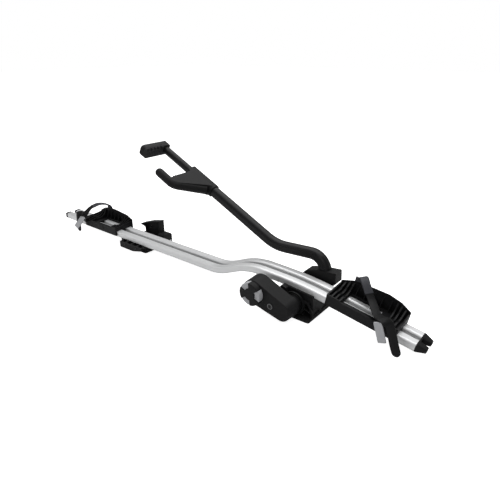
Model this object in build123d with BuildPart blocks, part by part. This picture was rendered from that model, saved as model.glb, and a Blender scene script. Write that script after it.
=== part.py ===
"""Roof mounted bike carrier: rail, foot with a hinged frame arm, two wheel trays and a rear bracket.

Millimetres. +X runs to the front end of the rail, +Y to the arm's side, +Z up. The origin is the
centre of the front foot's sole, which rests on the car's crossbar.
"""

from build123d import *
import os
from math import acos, atan2, cos, degrees, hypot, pi, radians, sin, sqrt, tan

os.makedirs("parts", exist_ok=True)

# Fits and cuts
slip = 0.3
running_fit = 0.05
overrun = 2.0

# Rail
rail_rear_x = -1084.0
rail_run_z = 40.0
rail_rise_x = -286.0
rail_rise_radius = 150.0
rail_crest_x = -176.0
rail_crest_z = 87.8
rail_crest_radius = 220.0
rail_shoulder_x = -2.0
rail_shoulder_z = 82.6
rail_shoulder_radius = 900.0
rail_front_x = 308.0
rail_fall_share = 0.17
rail_width = 64.0
lobe_width = 25.0
lobe_height = 22.0
lobe_rise = 8.0
lobe_corner = 6.0
rail_wall = 1.8
web_thickness = 3.0
slot_mouth = 9.0
slot_lip = 2.0
drain_x = 292.0
drain_length = 14.0
drain_width = 5.0

# End caps
front_cap_length = 25.0
front_cap_flange = 3.0
cap_plug_length = 14.0
rear_cap_length = 12.0

# Fasteners
screw_size = 6.0
screw_head_size = 10.0
screw_head_height = 4.0
slot_nut_height = 5.0
slot_nut_length = 18.0
hex_nut_width = 10.0
hex_nut_height = 5.0

# Front foot
foot_rear_x = -50.0
foot_front_x = 49.0
foot_near_y = -60.0
foot_far_y = 70.0
foot_pad_thickness = 3.0
foot_plate_thickness = 6.0
foot_corner = 9.0
body_near_y = -45.0
body_far_y = 38.0
cheek_y = 38.0
cheek_rise = 8.0
foot_wall = 4.0
foot_rib = 3.0
crossbar_hole_x = 30.0
crossbar_hole_spacing = 44.0
crossbar_hole_radius = 3.3
nut_room = 1.0

# Arm pivot
pivot_x = -6.0
pivot_z = 38.0
pivot_radius = 10.0
pivot_bore_radius = 6.0
bush_wall = 2.0
bush_length = 16.0
barrel_radius = 24.0

# Arm
arm_y = 60.0
tube_depth = 31.0
tube_width = 30.0
tube_corner = 12.0
tube_wall = 2.0
tube_foot_x = 33.0
tube_foot_z = 72.0
knee_x = 11.0
knee_z = 140.0
knee_radius = 45.0
elbow_x = -141.0
elbow_z = 130.7
elbow_radius = 125.0
arm_origin_x = -190.0
arm_origin_z = 155.0
tube_end = 262.0
socket_near_y = 42.0
socket_far_y = 80.0
socket_eye_radius = 26.0

# Knob casing
casing_near_y = -108.0
casing_far_y = -62.0
casing_big_x = -93.0
casing_big_z = 66.0
casing_big_radius = 34.0
casing_small_radius = 26.0
casing_flare_width = 2.0
casing_wall = 3.0
cover_thickness = 4.0

# Dial
dial_radius = 32.0
dial_depth = 17.0
dial_core_radius = 16.0
dial_lobe_angle = 62.0
spindle_radius = 4.0
clutch_radius = 20.0
clutch_thickness = 3.0
spring_thickness = 1.0
cable_radius = 3.0
cable_bend = 12.0
lane_depth = 24.0

# Lock
lock_x = -38.0
lock_z = 44.0
lock_ring_radius = 8.0
lock_radius = 5.8
lock_proud = 2.0
lock_length = 22.0

# Jaws
bar_radius = 12.5
bar_wall = 3.0
bar_foot = 150.0
jaw_travel = 105.0
screw_start = 20.0
screw_length = 250.0
screw_radius = 4.0
nut_length = 15.0
bearing_length = 8.0
sleeve_start = 205.0
sleeve_end = 310.0
sleeve_radius = 19.0
finger_y = -44.0
finger_tip = 353.0
finger_radius = 13.0
finger_bend = 278.0
jaw_heel_s = 222.0
jaw_heel_y = 40.0
trough_s = 297.0
trough_near_y = -31.0
trough_far_y = 41.0
jaw_rubber = 4.0
pad_near_y = -28.0
pad_far_y = 75.0
pad_back = 457.0
pad_face = 433.0
pad_height = 36.0
pad_rubber = 7.0

# Wheel trays
front_tray_x = 170.5
rear_tray_x = -860.0
tray_length = 188.0
tray_near_y = -37.0
tray_far_y = 41.0
tray_skirt = 9.0
tray_wall = 3.5
tray_floor = 2.6
tray_gap = 0.4
near_end_height = 24.0
ridge_height = 52.0
inner_deck_length = 39.0
outer_deck_length = 59.0
window_near_y = -18.0
window_far_y = 22.0
tray_ribs = 3
tray_rib_pitch = 11.0
tray_rib = 4.0
tyre_radius = 30.0
wheel_radius = 340.0
tyre_y = 3.0

# Straps
strap_width = 21.0
strap_thickness = 3.0
anchor_width = 22.0
anchor_thickness = 4.5
buckle_width = 24.0
lever_width = 20.0
lever_length = 51.0
lever_thickness = 3.5
lever_pin_radius = 2.0

# Rear bracket
bracket_rear_x = -750.0
bracket_front_x = -620.0
bracket_near_y = -47.0
bracket_far_y = 80.0
bracket_pad_thickness = 3.0
bracket_top_z = 20.0
claw_rear_x = -733.0
claw_front_x = -653.0
claw_tip_x = -758.0
claw_y = 80.0
claw_web = 7.0
claw_top_z = 82.0
claw_crest_z = 70.0
claw_pin_y = 88.0
claw_pin_z = 12.0
claw_pin_radius = 3.0
claw_flange = 22.0
claw_hole_radius = 6.0
claw_hole_rise = 24.0
hinge_block_top_z = 40.0
edge_rear_x = -735.0
edge_top_z = 24.0
edge_front_base_z = 14.0

# Sizes that follow from the ones above
rail_half = rail_width / 2
lobe_y = rail_half - lobe_width / 2
valley = rail_width - 2 * lobe_width
lobe_bottom = lobe_rise - lobe_height
lobe_mid = lobe_rise - lobe_height / 2
rail_front_z = rail_shoulder_z - (rail_front_x - rail_shoulder_x) * rail_fall_share
fall_angle = degrees(atan2(rail_fall_share, 1))
rail_under_z = rail_run_z + lobe_bottom
incline = degrees(atan2(arm_origin_z - elbow_z, elbow_x - arm_origin_x))


def save(piece, label):
    """Labels a finished piece and writes it."""
    piece.label = label
    export_step(piece, f"parts/{label}.step")


def side_plane(y):
    """Upright plane at width y: local x is X, local y is Z, and it faces -Y."""
    return Plane(origin=(0, y, 0), x_dir=(1, 0, 0), z_dir=(0, -1, 0))


def cross_plane(x, z=0.0):
    """Upright plane across the rail: local x is Y, local y is Z, and it faces +X."""
    return Plane(origin=(x, 0, z), x_dir=(0, 1, 0), z_dir=(1, 0, 0))


def rail_groove_z(x):
    """Height of the groove line over the straight front run."""
    return rail_shoulder_z - (x - rail_shoulder_x) * rail_fall_share


rail_forward = Vector(cos(radians(fall_angle)), 0, -sin(radians(fall_angle)))
rail_normal = Vector(sin(radians(fall_angle)), 0, cos(radians(fall_angle)))


# Rail: an extrusion with two hollow lobes, a valley on top and a T-slot below, then bent
with BuildLine(Plane.XZ) as rail_line:
    FilletPolyline(
        (rail_rear_x, rail_run_z),
        (rail_rise_x, rail_run_z),
        (rail_crest_x, rail_crest_z),
        (rail_shoulder_x, rail_shoulder_z),
        (rail_front_x, rail_front_z),
        radius=(rail_rise_radius, rail_crest_radius, rail_shoulder_radius),
    )
rail_path = rail_line.wire()
rail_start = cross_plane(rail_rear_x, rail_run_z)

lip_reach = valley / 2 + lobe_corner
with BuildPart() as rail:
    with BuildSketch(rail_start):
        with Locations((-lobe_y, lobe_mid), (lobe_y, lobe_mid)):
            RectangleRounded(lobe_width, lobe_height, lobe_corner)
        with Locations((0, -web_thickness / 2)):
            Rectangle(valley + rail_wall, web_thickness)
        for side in (-1, 1):
            with Locations((side * (slot_mouth / 2 + lip_reach) / 2, lobe_bottom + slot_lip / 2)):
                Rectangle(lip_reach - slot_mouth / 2, slot_lip)
        with Locations((-lobe_y, lobe_mid), (lobe_y, lobe_mid)):
            RectangleRounded(
                lobe_width - 2 * rail_wall,
                lobe_height - 2 * rail_wall,
                lobe_corner - rail_wall,
                mode=Mode.SUBTRACT,
            )
    sweep(path=rail_path)
    # slotted hole in the web behind the front cap
    drain_frame = Plane(
        origin=(drain_x, 0, rail_groove_z(drain_x)),
        x_dir=tuple(rail_forward),
        z_dir=tuple(rail_normal),
    )
    with BuildSketch(drain_frame.offset(overrun)):
        SlotOverall(drain_length, drain_width)
    extrude(amount=-web_thickness - 2 * overrun, mode=Mode.SUBTRACT)
save(rail.part, "rail")

# The room that the rail takes, for what fits round it
with BuildPart() as rail_room:
    with BuildSketch(rail_start):
        with Locations((-lobe_y, lobe_mid), (lobe_y, lobe_mid)):
            RectangleRounded(lobe_width + 2 * slip, lobe_height + 2 * slip, lobe_corner)
        with Locations((0, lobe_mid)):
            Rectangle(2 * (lip_reach + slip), lobe_height + 2 * slip)
    sweep(path=rail_path)

# Front cap: a flange over the whole end, two tapered domed lobes and two plugs
front_end = Plane(
    origin=(rail_front_x, 0, rail_front_z), x_dir=(0, 1, 0), z_dir=tuple(rail_forward)
)
cap_tip_width_share = 0.62
cap_tip_height_share = 0.5
cap_shift_share = 0.12
with BuildPart() as front_cap:
    with BuildSketch(front_end):
        with Locations((-lobe_y, lobe_mid), (lobe_y, lobe_mid)):
            RectangleRounded(lobe_width, lobe_height, lobe_corner)
        with Locations((0, lobe_mid)):
            Rectangle(valley + lobe_corner, lobe_height - lobe_corner)
    extrude(amount=front_cap_flange)
    for side in (-1, 1):
        with BuildSketch(front_end.offset(front_cap_flange)):
            with Locations((side * lobe_y, lobe_mid)):
                RectangleRounded(lobe_width, lobe_height, lobe_corner)
        with BuildSketch(front_end.offset(front_cap_length)):
            with Locations((side * (lobe_y - lobe_width * cap_shift_share), lobe_mid)):
                RectangleRounded(
                    lobe_width * cap_tip_width_share,
                    lobe_height * cap_tip_height_share,
                    lobe_corner * cap_tip_height_share,
                )
        loft()
    tips = front_cap.faces().filter_by(
        lambda face: face.normal_at().dot(rail_forward) > 1 - slip
        and (face.center() - Vector(*front_end.origin)).dot(rail_forward) > front_cap_length / 2
    )
    fillet(tips.edges(), rail_wall)
    with BuildSketch(front_end):
        with Locations((-lobe_y, lobe_mid), (lobe_y, lobe_mid)):
            RectangleRounded(
                lobe_width - 2 * (rail_wall + slip),
                lobe_height - 2 * (rail_wall + slip),
                lobe_corner - rail_wall - slip,
            )
    extrude(amount=-cap_plug_length)
save(front_cap.part, "front_cap")

# Rear caps: a plug and a dished collar in each lobe
rear_end = cross_plane(rail_rear_x, rail_run_z)
with BuildPart() as rear_caps:
    with BuildSketch(rear_end):
        with Locations((-lobe_y, lobe_mid), (lobe_y, lobe_mid)):
            RectangleRounded(lobe_width, lobe_height, lobe_corner)
    extrude(amount=-rear_cap_length)
    fillet(rear_caps.faces().sort_by(Axis.X)[:2].edges(), rail_wall / 2)
    with BuildSketch(rear_end.offset(-rear_cap_length)):
        with Locations((-lobe_y, lobe_mid), (lobe_y, lobe_mid)):
            RectangleRounded(
                lobe_width - 4 * rail_wall, lobe_height - 4 * rail_wall, lobe_corner - rail_wall
            )
    extrude(amount=rear_cap_length / 2, mode=Mode.SUBTRACT)
    with BuildSketch(rear_end):
        with Locations((-lobe_y, lobe_mid), (lobe_y, lobe_mid)):
            RectangleRounded(
                lobe_width - 2 * (rail_wall + slip),
                lobe_height - 2 * (rail_wall + slip),
                lobe_corner - rail_wall - slip,
            )
    extrude(amount=cap_plug_length)
save(rear_caps.part, "rear_caps")

# Front foot: sole plate, body up to the rail with cheeks beside it, barrel for the arm's shaft,
# webs round the barrel on the open near side, and a lug with the clamp screw
foot_length = foot_front_x - foot_rear_x
foot_mid_x = (foot_front_x + foot_rear_x) / 2
foot_mid_y = (foot_near_y + foot_far_y) / 2
plate_top = foot_pad_thickness + foot_plate_thickness
cheek_top_rear = rail_shoulder_z + lobe_bottom + cheek_rise
cheek_top_front = rail_groove_z(foot_front_x) + lobe_bottom + cheek_rise
crossbar_holes = [(crossbar_hole_x, side * crossbar_hole_spacing / 2) for side in (-1, 1)]
body_shoulder_z = pivot_z + barrel_radius / 2
front_recess = 3.0
web_angles = (-75, -45, -15, 15, 165, 195, 225, 255)
cavity_rear_x = crossbar_hole_x - hex_nut_width
cavity_far_y = crossbar_hole_spacing / 2 + hex_nut_width / 2 + nut_room
cavity_roof_z = cheek_top_front - cheek_rise - 3 * foot_wall
lug_front_x = foot_rear_x + foot_length / 5
lug_top_z = cheek_top_rear + cheek_rise / 4
lug_near_y = body_near_y - foot_wall
lug_far_y = -rail_half - slip
clamp_y = (lug_near_y + lug_far_y) / 2
clamp_z = pivot_z + barrel_radius
with BuildPart() as foot_base:
    with BuildSketch(Plane.XY.offset(foot_pad_thickness)):
        with Locations((foot_mid_x, foot_mid_y)):
            RectangleRounded(foot_length, foot_far_y - foot_near_y, foot_corner)
    extrude(amount=foot_plate_thickness)
    chamfer(foot_base.faces().sort_by(Axis.Z)[-1].edges(), foot_plate_thickness / 4)
    # upper body between the cheeks
    with BuildSketch(side_plane(cheek_y)):
        with BuildLine():
            Polyline(
                (foot_rear_x + foot_wall, foot_pad_thickness),
                (foot_rear_x + foot_length / 8, cheek_top_rear),
                (foot_front_x - foot_wall, cheek_top_front),
                (foot_front_x, foot_pad_thickness),
                close=True,
            )
        make_face()
    extrude(amount=2 * cheek_y)
    # lower body, wider on the near side
    with BuildSketch(side_plane(-cheek_y)):
        with BuildLine():
            Polyline(
                (foot_rear_x, foot_pad_thickness),
                (foot_rear_x, pivot_z - barrel_radius / 2),
                (foot_rear_x + foot_length / 8, body_shoulder_z + foot_wall),
                (foot_front_x - foot_length / 8, body_shoulder_z),
                (foot_front_x, pivot_z - barrel_radius / 2),
                (foot_front_x, foot_pad_thickness),
                close=True,
            )
        make_face()
    extrude(amount=-cheek_y - body_near_y)
    add(rail_room.part, mode=Mode.SUBTRACT)
    # open pockets on the near side, with webs that radiate from the barrel
    with BuildSketch(side_plane(body_near_y - overrun)):
        with BuildLine():
            FilletPolyline(
                (foot_rear_x + foot_wall, plate_top),
                (foot_rear_x + foot_wall, pivot_z - barrel_radius / 2),
                (foot_rear_x + foot_length / 8 + foot_wall, body_shoulder_z),
                (foot_front_x - foot_length / 8 - foot_wall, body_shoulder_z - foot_wall),
                (foot_front_x - foot_wall, pivot_z - barrel_radius / 2),
                (foot_front_x - foot_wall, plate_top),
                radius=foot_wall,
                close=True,
            )
        make_face()
        with Locations((pivot_x, pivot_z)):
            Circle(barrel_radius + 2 * foot_wall, mode=Mode.SUBTRACT)
        for angle in web_angles:
            with Locations((pivot_x, pivot_z)):
                Rectangle(
                    foot_length,
                    foot_rib,
                    rotation=angle,
                    align=(Align.MIN, Align.CENTER),
                    mode=Mode.SUBTRACT,
                )
    extrude(amount=-(cheek_y - rail_half - slip) - overrun - foot_wall, mode=Mode.SUBTRACT)
    # barrel and its collar ring
    with BuildSketch(side_plane(body_far_y)):
        with Locations((pivot_x, pivot_z)):
            Circle(barrel_radius)
    extrude(amount=body_far_y - foot_near_y)
    with BuildSketch(side_plane(body_near_y)):
        with Locations((pivot_x, pivot_z)):
            Circle(barrel_radius + 2 * foot_wall)
            Circle(barrel_radius + foot_wall, mode=Mode.SUBTRACT)
    extrude(amount=foot_wall)
    # room for the crossbar nuts, reached through the near side's pockets
    with BuildSketch(side_plane(cavity_far_y)):
        with BuildLine():
            FilletPolyline(
                (cavity_rear_x, plate_top),
                (cavity_rear_x, cavity_roof_z),
                (foot_front_x - 2 * foot_wall, cavity_roof_z),
                (foot_front_x - foot_wall, plate_top),
                radius=foot_wall / 2,
                close=True,
            )
        make_face()
    extrude(amount=cavity_far_y + cheek_y, mode=Mode.SUBTRACT)
    # diagonal ribs' recesses in the front panel
    with BuildSketch(cross_plane(foot_front_x)):
        for side in (-1, 1):
            with BuildLine():
                Polyline(
                    (side * foot_rib, plate_top + foot_wall),
                    (side * (cheek_y - 2 * foot_wall), plate_top + foot_wall),
                    (side * (cheek_y - 2 * foot_wall), cavity_roof_z - 2 * foot_wall),
                    close=True,
                )
            make_face()
    extrude(amount=-front_recess, mode=Mode.SUBTRACT)
    # lug for the clamp screw, beside the rail on the near side
    with BuildSketch(side_plane(lug_far_y)):
        with BuildLine():
            FilletPolyline(
                (foot_rear_x, body_shoulder_z),
                (foot_rear_x - foot_wall, clamp_z),
                (foot_rear_x + foot_wall, lug_top_z),
                (lug_front_x, lug_top_z - foot_wall),
                (lug_front_x + foot_wall, body_shoulder_z - foot_wall),
                radius=foot_wall,
                close=True,
            )
        make_face()
    extrude(amount=lug_far_y - lug_near_y)
    add(rail_room.part, mode=Mode.SUBTRACT)
    # bores
    with BuildSketch(side_plane(foot_far_y)):
        with Locations((pivot_x, pivot_z)):
            Circle(pivot_radius + bush_wall + running_fit)
    extrude(amount=foot_far_y - foot_near_y + overrun, mode=Mode.SUBTRACT)
    with BuildSketch(cross_plane(foot_rear_x - 2 * foot_wall)):
        with Locations((clamp_y, clamp_z)):
            Circle(screw_size / 2 + running_fit)
    extrude(amount=foot_length / 3, mode=Mode.SUBTRACT)
    with BuildSketch(Plane.XY):
        with Locations(*crossbar_holes):
            Circle(crossbar_hole_radius)
    extrude(amount=plate_top + overrun, mode=Mode.SUBTRACT)


def rail_frame(x):
    """Frame on the groove line at a given X: local x runs along the rail, local z away from it."""
    low, high = 0.0, 1.0
    while high - low > running_fit / rail_width / lobe_width:
        middle = (low + high) / 2
        if (rail_path @ middle).X < x:
            low = middle
        else:
            high = middle
    along = rail_path % low
    return Plane(origin=rail_path @ low, x_dir=along, z_dir=along.cross(Vector(0, 1, 0)))


# Screws that go up into the rail's slot, at the foot and at the rear bracket
foot_screw_x = crossbar_hole_x + screw_size / 2
bracket_screw_xs = (
    bracket_rear_x + (bracket_front_x - bracket_rear_x) / 4,
    bracket_front_x - (bracket_front_x - bracket_rear_x) / 4,
)
screw_bed = 8.0
slot_frames = [rail_frame(foot_screw_x)] + [rail_frame(x) for x in bracket_screw_xs]
screw_seat_z = lobe_bottom - screw_bed
nut_base_z = lobe_bottom + slot_lip + running_fit
nut_top_z = nut_base_z + slot_nut_height


def screw_way(frames, cut_target):
    """Cuts the hole and the head's recess of each slot screw out of a seat under the rail."""
    with BuildPart() as way:
        for frame in frames:
            with BuildSketch(frame.offset(lobe_bottom + overrun)):
                Circle(screw_size / 2 + slip)
            extrude(amount=-screw_bed - 2 * overrun)
            with BuildSketch(frame.offset(screw_seat_z)):
                Circle(screw_head_size / 2 + slip)
            extrude(amount=-rail_run_z)
    return cut_target - way.part


foot_part = screw_way(slot_frames[:1], foot_base.part)
save(foot_part, "foot_base")

with BuildPart() as foot_pad:
    with BuildSketch():
        with Locations((foot_mid_x, foot_mid_y)):
            RectangleRounded(
                foot_length - foot_rib, foot_far_y - foot_near_y - foot_rib, foot_corner - foot_rib
            )
        with Locations(*crossbar_holes):
            Circle(crossbar_hole_radius + slip, mode=Mode.SUBTRACT)
    extrude(amount=foot_pad_thickness)
save(foot_pad.part, "foot_pad")

with BuildPart() as crossbar_nuts:
    with BuildSketch(Plane.XY.offset(plate_top)):
        with Locations(*crossbar_holes):
            RegularPolygon(hex_nut_width / 2, 6, major_radius=False)
            Circle(crossbar_hole_radius, mode=Mode.SUBTRACT)
    extrude(amount=hex_nut_height)
save(crossbar_nuts.part, "crossbar_nuts")

with BuildPart() as slot_nuts:
    for frame in slot_frames:
        with BuildSketch(frame.offset(nut_base_z)):
            Rectangle(slot_nut_length, valley - 2 * slip)
            Circle(screw_size / 2, mode=Mode.SUBTRACT)
        extrude(amount=slot_nut_height)
save(slot_nuts.part, "slot_nuts")


def slot_screw(frame):
    """One screw with its head under the seat and its end in the slot nut."""
    with BuildPart() as screw:
        with BuildSketch(frame.offset(screw_seat_z)):
            Circle(screw_head_size / 2)
        extrude(amount=-screw_head_height)
        with BuildSketch(frame.offset(screw_seat_z - screw_head_height)):
            RegularPolygon(screw_size / 3, 6)
        extrude(amount=screw_head_height / 2, mode=Mode.SUBTRACT)
        with BuildSketch(frame.offset(screw_seat_z)):
            Circle(screw_size / 2)
        extrude(amount=nut_top_z - screw_seat_z)
    return screw.part


save(slot_screw(slot_frames[0]), "foot_slot_screw")
bracket_screws = Part() + [slot_screw(frame) for frame in slot_frames[1:]]
save(bracket_screws, "bracket_slot_screws")

with BuildPart() as foot_clamp_screw:
    with BuildSketch(cross_plane(foot_rear_x - foot_wall - overrun)):
        with Locations((clamp_y, clamp_z)):
            Circle(screw_size / 2)
    extrude(amount=foot_length / 4)
    chamfer(foot_clamp_screw.faces().filter_by(Axis.X).edges(), screw_size / 12)
save(foot_clamp_screw.part, "foot_clamp_screw")

with BuildPart() as pivot_bushes:
    for end_y in (body_far_y, foot_near_y + bush_length):
        with BuildSketch(side_plane(end_y)):
            with Locations((pivot_x, pivot_z)):
                Circle(pivot_radius + bush_wall)
                Circle(pivot_radius + running_fit, mode=Mode.SUBTRACT)
        extrude(amount=bush_length)
save(pivot_bushes.part, "pivot_bushes")

# Rear bracket: a moulded plate under the rail with a ribbed near edge, hollow below
bracket_length = bracket_front_x - bracket_rear_x
bracket_mid_x = (bracket_front_x + bracket_rear_x) / 2
bracket_wall = 4.0
bracket_notches = 4
bracket_notch_share = 0.62
knuckle_radius = claw_pin_radius + bracket_wall
bracket_screw_y = bracket_near_y
with BuildPart() as rear_bracket:
    with BuildSketch(cross_plane(bracket_rear_x)):
        with BuildLine():
            Polyline(
                (bracket_near_y, bracket_pad_thickness),
                (bracket_near_y, edge_top_z),
                (-rail_half + lobe_corner / 2, rail_under_z),
                (rail_half, rail_under_z),
                (rail_half + bracket_wall, bracket_top_z),
                (bracket_far_y - bracket_wall, bracket_top_z),
                (bracket_far_y - bracket_wall, bracket_pad_thickness),
                close=True,
            )
        make_face()
    extrude(amount=bracket_length)
    outer = rear_bracket.edges().filter_by(Axis.Z).sort_by(Axis.Y)
    fillet(outer[-2:], bracket_wall * 2)
    # hollow below, with a boss round each screw
    with BuildSketch(Plane.XY.offset(bracket_pad_thickness)):
        with Locations((bracket_mid_x, 0)):
            Rectangle(bracket_length - 2 * bracket_wall, rail_width - 2 * bracket_wall)
        with Locations(*[(x, 0) for x in bracket_screw_xs]):
            Circle(screw_head_size / 2 + bracket_wall, mode=Mode.SUBTRACT)
    extrude(amount=bracket_top_z - bracket_pad_thickness - bracket_wall / 2, mode=Mode.SUBTRACT)
    with BuildSketch(Plane.XY.offset(bracket_pad_thickness)):
        with Locations((bracket_mid_x, (rail_half + bracket_far_y) / 2)):
            Rectangle(
                bracket_length - 2 * bracket_wall,
                bracket_far_y - rail_half - 3 * bracket_wall,
            )
        Rectangle(foot_rib, bracket_far_y * 4, mode=Mode.SUBTRACT)
    extrude(amount=bracket_top_z - bracket_pad_thickness - bracket_wall, mode=Mode.SUBTRACT)
    # near edge: a bar held by ribs, shorter than the plate at the rear and tapered in front
    notch_pitch = (bracket_front_x - edge_rear_x) / bracket_notches
    edge_mid_x = (bracket_front_x + edge_rear_x) / 2
    notch_reach = -rail_half - bracket_near_y
    with BuildSketch(Plane.XY):
        with Locations((edge_mid_x, bracket_near_y + bracket_wall)):
            with GridLocations(notch_pitch, bracket_length, bracket_notches, 1):
                Rectangle(
                    notch_pitch * bracket_notch_share,
                    notch_reach,
                    align=(Align.CENTER, Align.MIN),
                )
    extrude(amount=rail_under_z, mode=Mode.SUBTRACT)
    with BuildSketch(side_plane(-rail_half + bracket_wall)):
        with BuildLine():
            Polyline(
                (edge_mid_x, 0),
                (bracket_front_x, edge_front_base_z),
                (bracket_front_x, 0),
                close=True,
            )
        make_face()
        with Locations((edge_rear_x, 0)):
            Rectangle(bracket_length, 2 * rail_run_z, align=(Align.MAX, Align.CENTER))
    extrude(amount=bracket_wall - rail_half - bracket_near_y + overrun, mode=Mode.SUBTRACT)
    # block in front of the claw
    with BuildSketch(cross_plane(claw_front_x + slip)):
        with Locations((claw_pin_y + knuckle_radius, bracket_pad_thickness)):
            Rectangle(
                claw_flange + 2 * knuckle_radius,
                hinge_block_top_z - bracket_pad_thickness,
                align=(Align.MAX, Align.MIN),
            )
    extrude(amount=bracket_front_x - claw_front_x - slip)
    fillet(
        rear_bracket.faces().sort_by(Axis.Z)[-1].edges().filter_by(Axis.X), 2 * bracket_wall
    )
    # knuckles for the claw's pin
    for first, last in ((bracket_rear_x, claw_rear_x - slip), (claw_front_x + slip, bracket_front_x)):
        with BuildSketch(cross_plane(first)):
            with Locations((claw_pin_y, claw_pin_z)):
                Circle(knuckle_radius)
            with Locations(
                ((claw_pin_y + bracket_far_y - 2 * bracket_wall) / 2, claw_pin_z)
            ):
                Rectangle(claw_pin_y - bracket_far_y + 2 * bracket_wall, 2 * knuckle_radius)
        extrude(amount=last - first)
    with BuildSketch(cross_plane(bracket_rear_x)):
        with Locations((claw_pin_y, claw_pin_z)):
            Circle(claw_pin_radius + slip / 2)
    extrude(amount=bracket_length, mode=Mode.SUBTRACT)
bracket_part = screw_way(slot_frames[1:], rear_bracket.part)
save(bracket_part, "rear_bracket")

with BuildPart() as rear_pad:
    with BuildSketch():
        with Locations((bracket_mid_x, (bracket_far_y - rail_half) / 2)):
            RectangleRounded(
                bracket_length - foot_rib,
                bracket_far_y + rail_half - 2 * bracket_wall,
                bracket_wall,
            )
    extrude(amount=bracket_pad_thickness)
save(rear_pad.part, "rear_pad")

edge_screw_radius = 2.5
edge_screw_height = 2.0
edge_screw_y = (bracket_near_y - rail_half) / 2
with BuildPart() as bracket_edge_screws:
    with BuildSketch(side_plane(bracket_near_y)):
        with Locations((edge_mid_x, edge_top_z - edge_screw_radius - bracket_wall)):
            with GridLocations(2 * notch_pitch, bracket_length, 2, 1):
                Circle(edge_screw_radius)
    extrude(amount=edge_screw_height)
    fillet(bracket_edge_screws.faces().sort_by(Axis.Y)[:2].edges(), edge_screw_height / 2)
save(bracket_edge_screws.part, "bracket_edge_screws")

with BuildPart() as claw_pin:
    with BuildSketch(cross_plane(bracket_rear_x - slip)):
        with Locations((claw_pin_y, claw_pin_z)):
            Circle(claw_pin_radius)
    extrude(amount=bracket_length + 2 * slip)
save(claw_pin.part, "claw_pin")

# Claw: a hook with a rim round its web; its mouth opens to the rear
claw_length = claw_front_x - claw_rear_x
claw_mouth_low = claw_pin_z + knuckle_radius + bracket_wall
claw_mouth_high = claw_mouth_low + claw_flange
claw_tip_z = claw_mouth_high + bracket_wall
claw_hole_share = 0.3
claw_crest_share = 0.65
claw_hole_x = claw_rear_x + claw_length * claw_hole_share
with BuildPart() as rear_claw:
    with BuildSketch(side_plane(claw_y + claw_web / 2)):
        with BuildLine():
            Polyline(
                (claw_front_x, claw_pin_z),
                (claw_front_x, claw_top_z),
                (claw_front_x - claw_length * claw_crest_share, claw_crest_z),
                (claw_tip_x + bracket_wall, claw_tip_z + bracket_wall),
                (claw_tip_x, claw_tip_z),
                (claw_rear_x - bracket_wall, claw_mouth_high),
                (claw_rear_x, claw_mouth_high - bracket_wall),
                (claw_rear_x, claw_pin_z),
                close=True,
            )
        claw_face = make_face()
        with Locations((claw_hole_x, claw_mouth_low + claw_hole_rise)):
            RegularPolygon(claw_hole_radius, 3, rotation=180, mode=Mode.SUBTRACT)
    extrude(amount=claw_web)
    with BuildSketch(side_plane(claw_y + claw_flange / 2)):
        add(claw_face)
        offset(claw_face, amount=-bracket_wall, kind=Kind.INTERSECTION, mode=Mode.SUBTRACT)
        with Locations((claw_rear_x, claw_pin_z)):
            Rectangle(
                claw_length * 4, 2 * (claw_mouth_low - claw_pin_z), mode=Mode.SUBTRACT
            )
    extrude(amount=claw_flange)
    with BuildSketch(cross_plane(claw_rear_x)):
        with Locations((claw_pin_y, claw_pin_z)):
            Circle(knuckle_radius)
        with Locations((claw_y, (claw_pin_z + claw_mouth_low) / 2)):
            Rectangle(claw_web, claw_mouth_low - claw_pin_z)
    extrude(amount=claw_length)
    with BuildSketch(cross_plane(claw_rear_x)):
        with Locations((claw_pin_y, claw_pin_z)):
            Circle(claw_pin_radius + running_fit)
    extrude(amount=claw_length, mode=Mode.SUBTRACT)
save(rear_claw.part, "rear_claw")

# Arm's route: hollow shaft across the foot, up into the socket, then the bent tube to the jaws
arm_along = Vector(-cos(radians(incline)), 0, sin(radians(incline)))
arm_up = Vector(sin(radians(incline)), 0, cos(radians(incline)))
arm_start = Vector(arm_origin_x, arm_y, arm_origin_z)


def arm_point(s, y=arm_y, up=0.0):
    """A point s along the straight end of the arm."""
    point = arm_start + arm_along * s + arm_up * up
    return Vector(point.X, y, point.Z)


def arm_plane(s):
    """Plane across the arm: local x is +Y, local y is the arm's upper side, facing the jaws."""
    return Plane(origin=arm_point(s), x_dir=(0, 1, 0), z_dir=tuple(arm_along))


# Plane through the arm's own length: local x is s, local y is Y
jaw_plane = Plane(
    origin=(arm_origin_x, 0, arm_origin_z), x_dir=tuple(arm_along), z_dir=tuple(-arm_up)
)
with BuildLine() as tube_line:
    FilletPolyline(
        (tube_foot_x, arm_y, tube_foot_z),
        (knee_x, arm_y, knee_z),
        (elbow_x, arm_y, elbow_z),
        tuple(arm_point(tube_end)),
        radius=(knee_radius, elbow_radius),
    )
tube_path = tube_line.wire()
tube_groove = 2.0
tube_groove_share = 0.2
tube_mouth = Plane(origin=tube_path @ 0, x_dir=(0, 1, 0), z_dir=tuple(tube_path % 0))
with BuildPart() as arm_tube:
    with BuildSketch(tube_mouth):
        RectangleRounded(tube_width, tube_depth, tube_corner)
        with Locations(
            (-tube_width / 2, tube_depth * tube_groove_share),
            (-tube_width / 2, -tube_depth * tube_groove_share),
        ):
            Circle(tube_groove / 2, mode=Mode.SUBTRACT)
        RectangleRounded(
            tube_width - 2 * tube_wall,
            tube_depth - 2 * tube_wall,
            tube_corner - tube_wall,
            mode=Mode.SUBTRACT,
        )
    sweep(path=tube_path)
save(arm_tube.part, "arm_tube")

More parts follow.
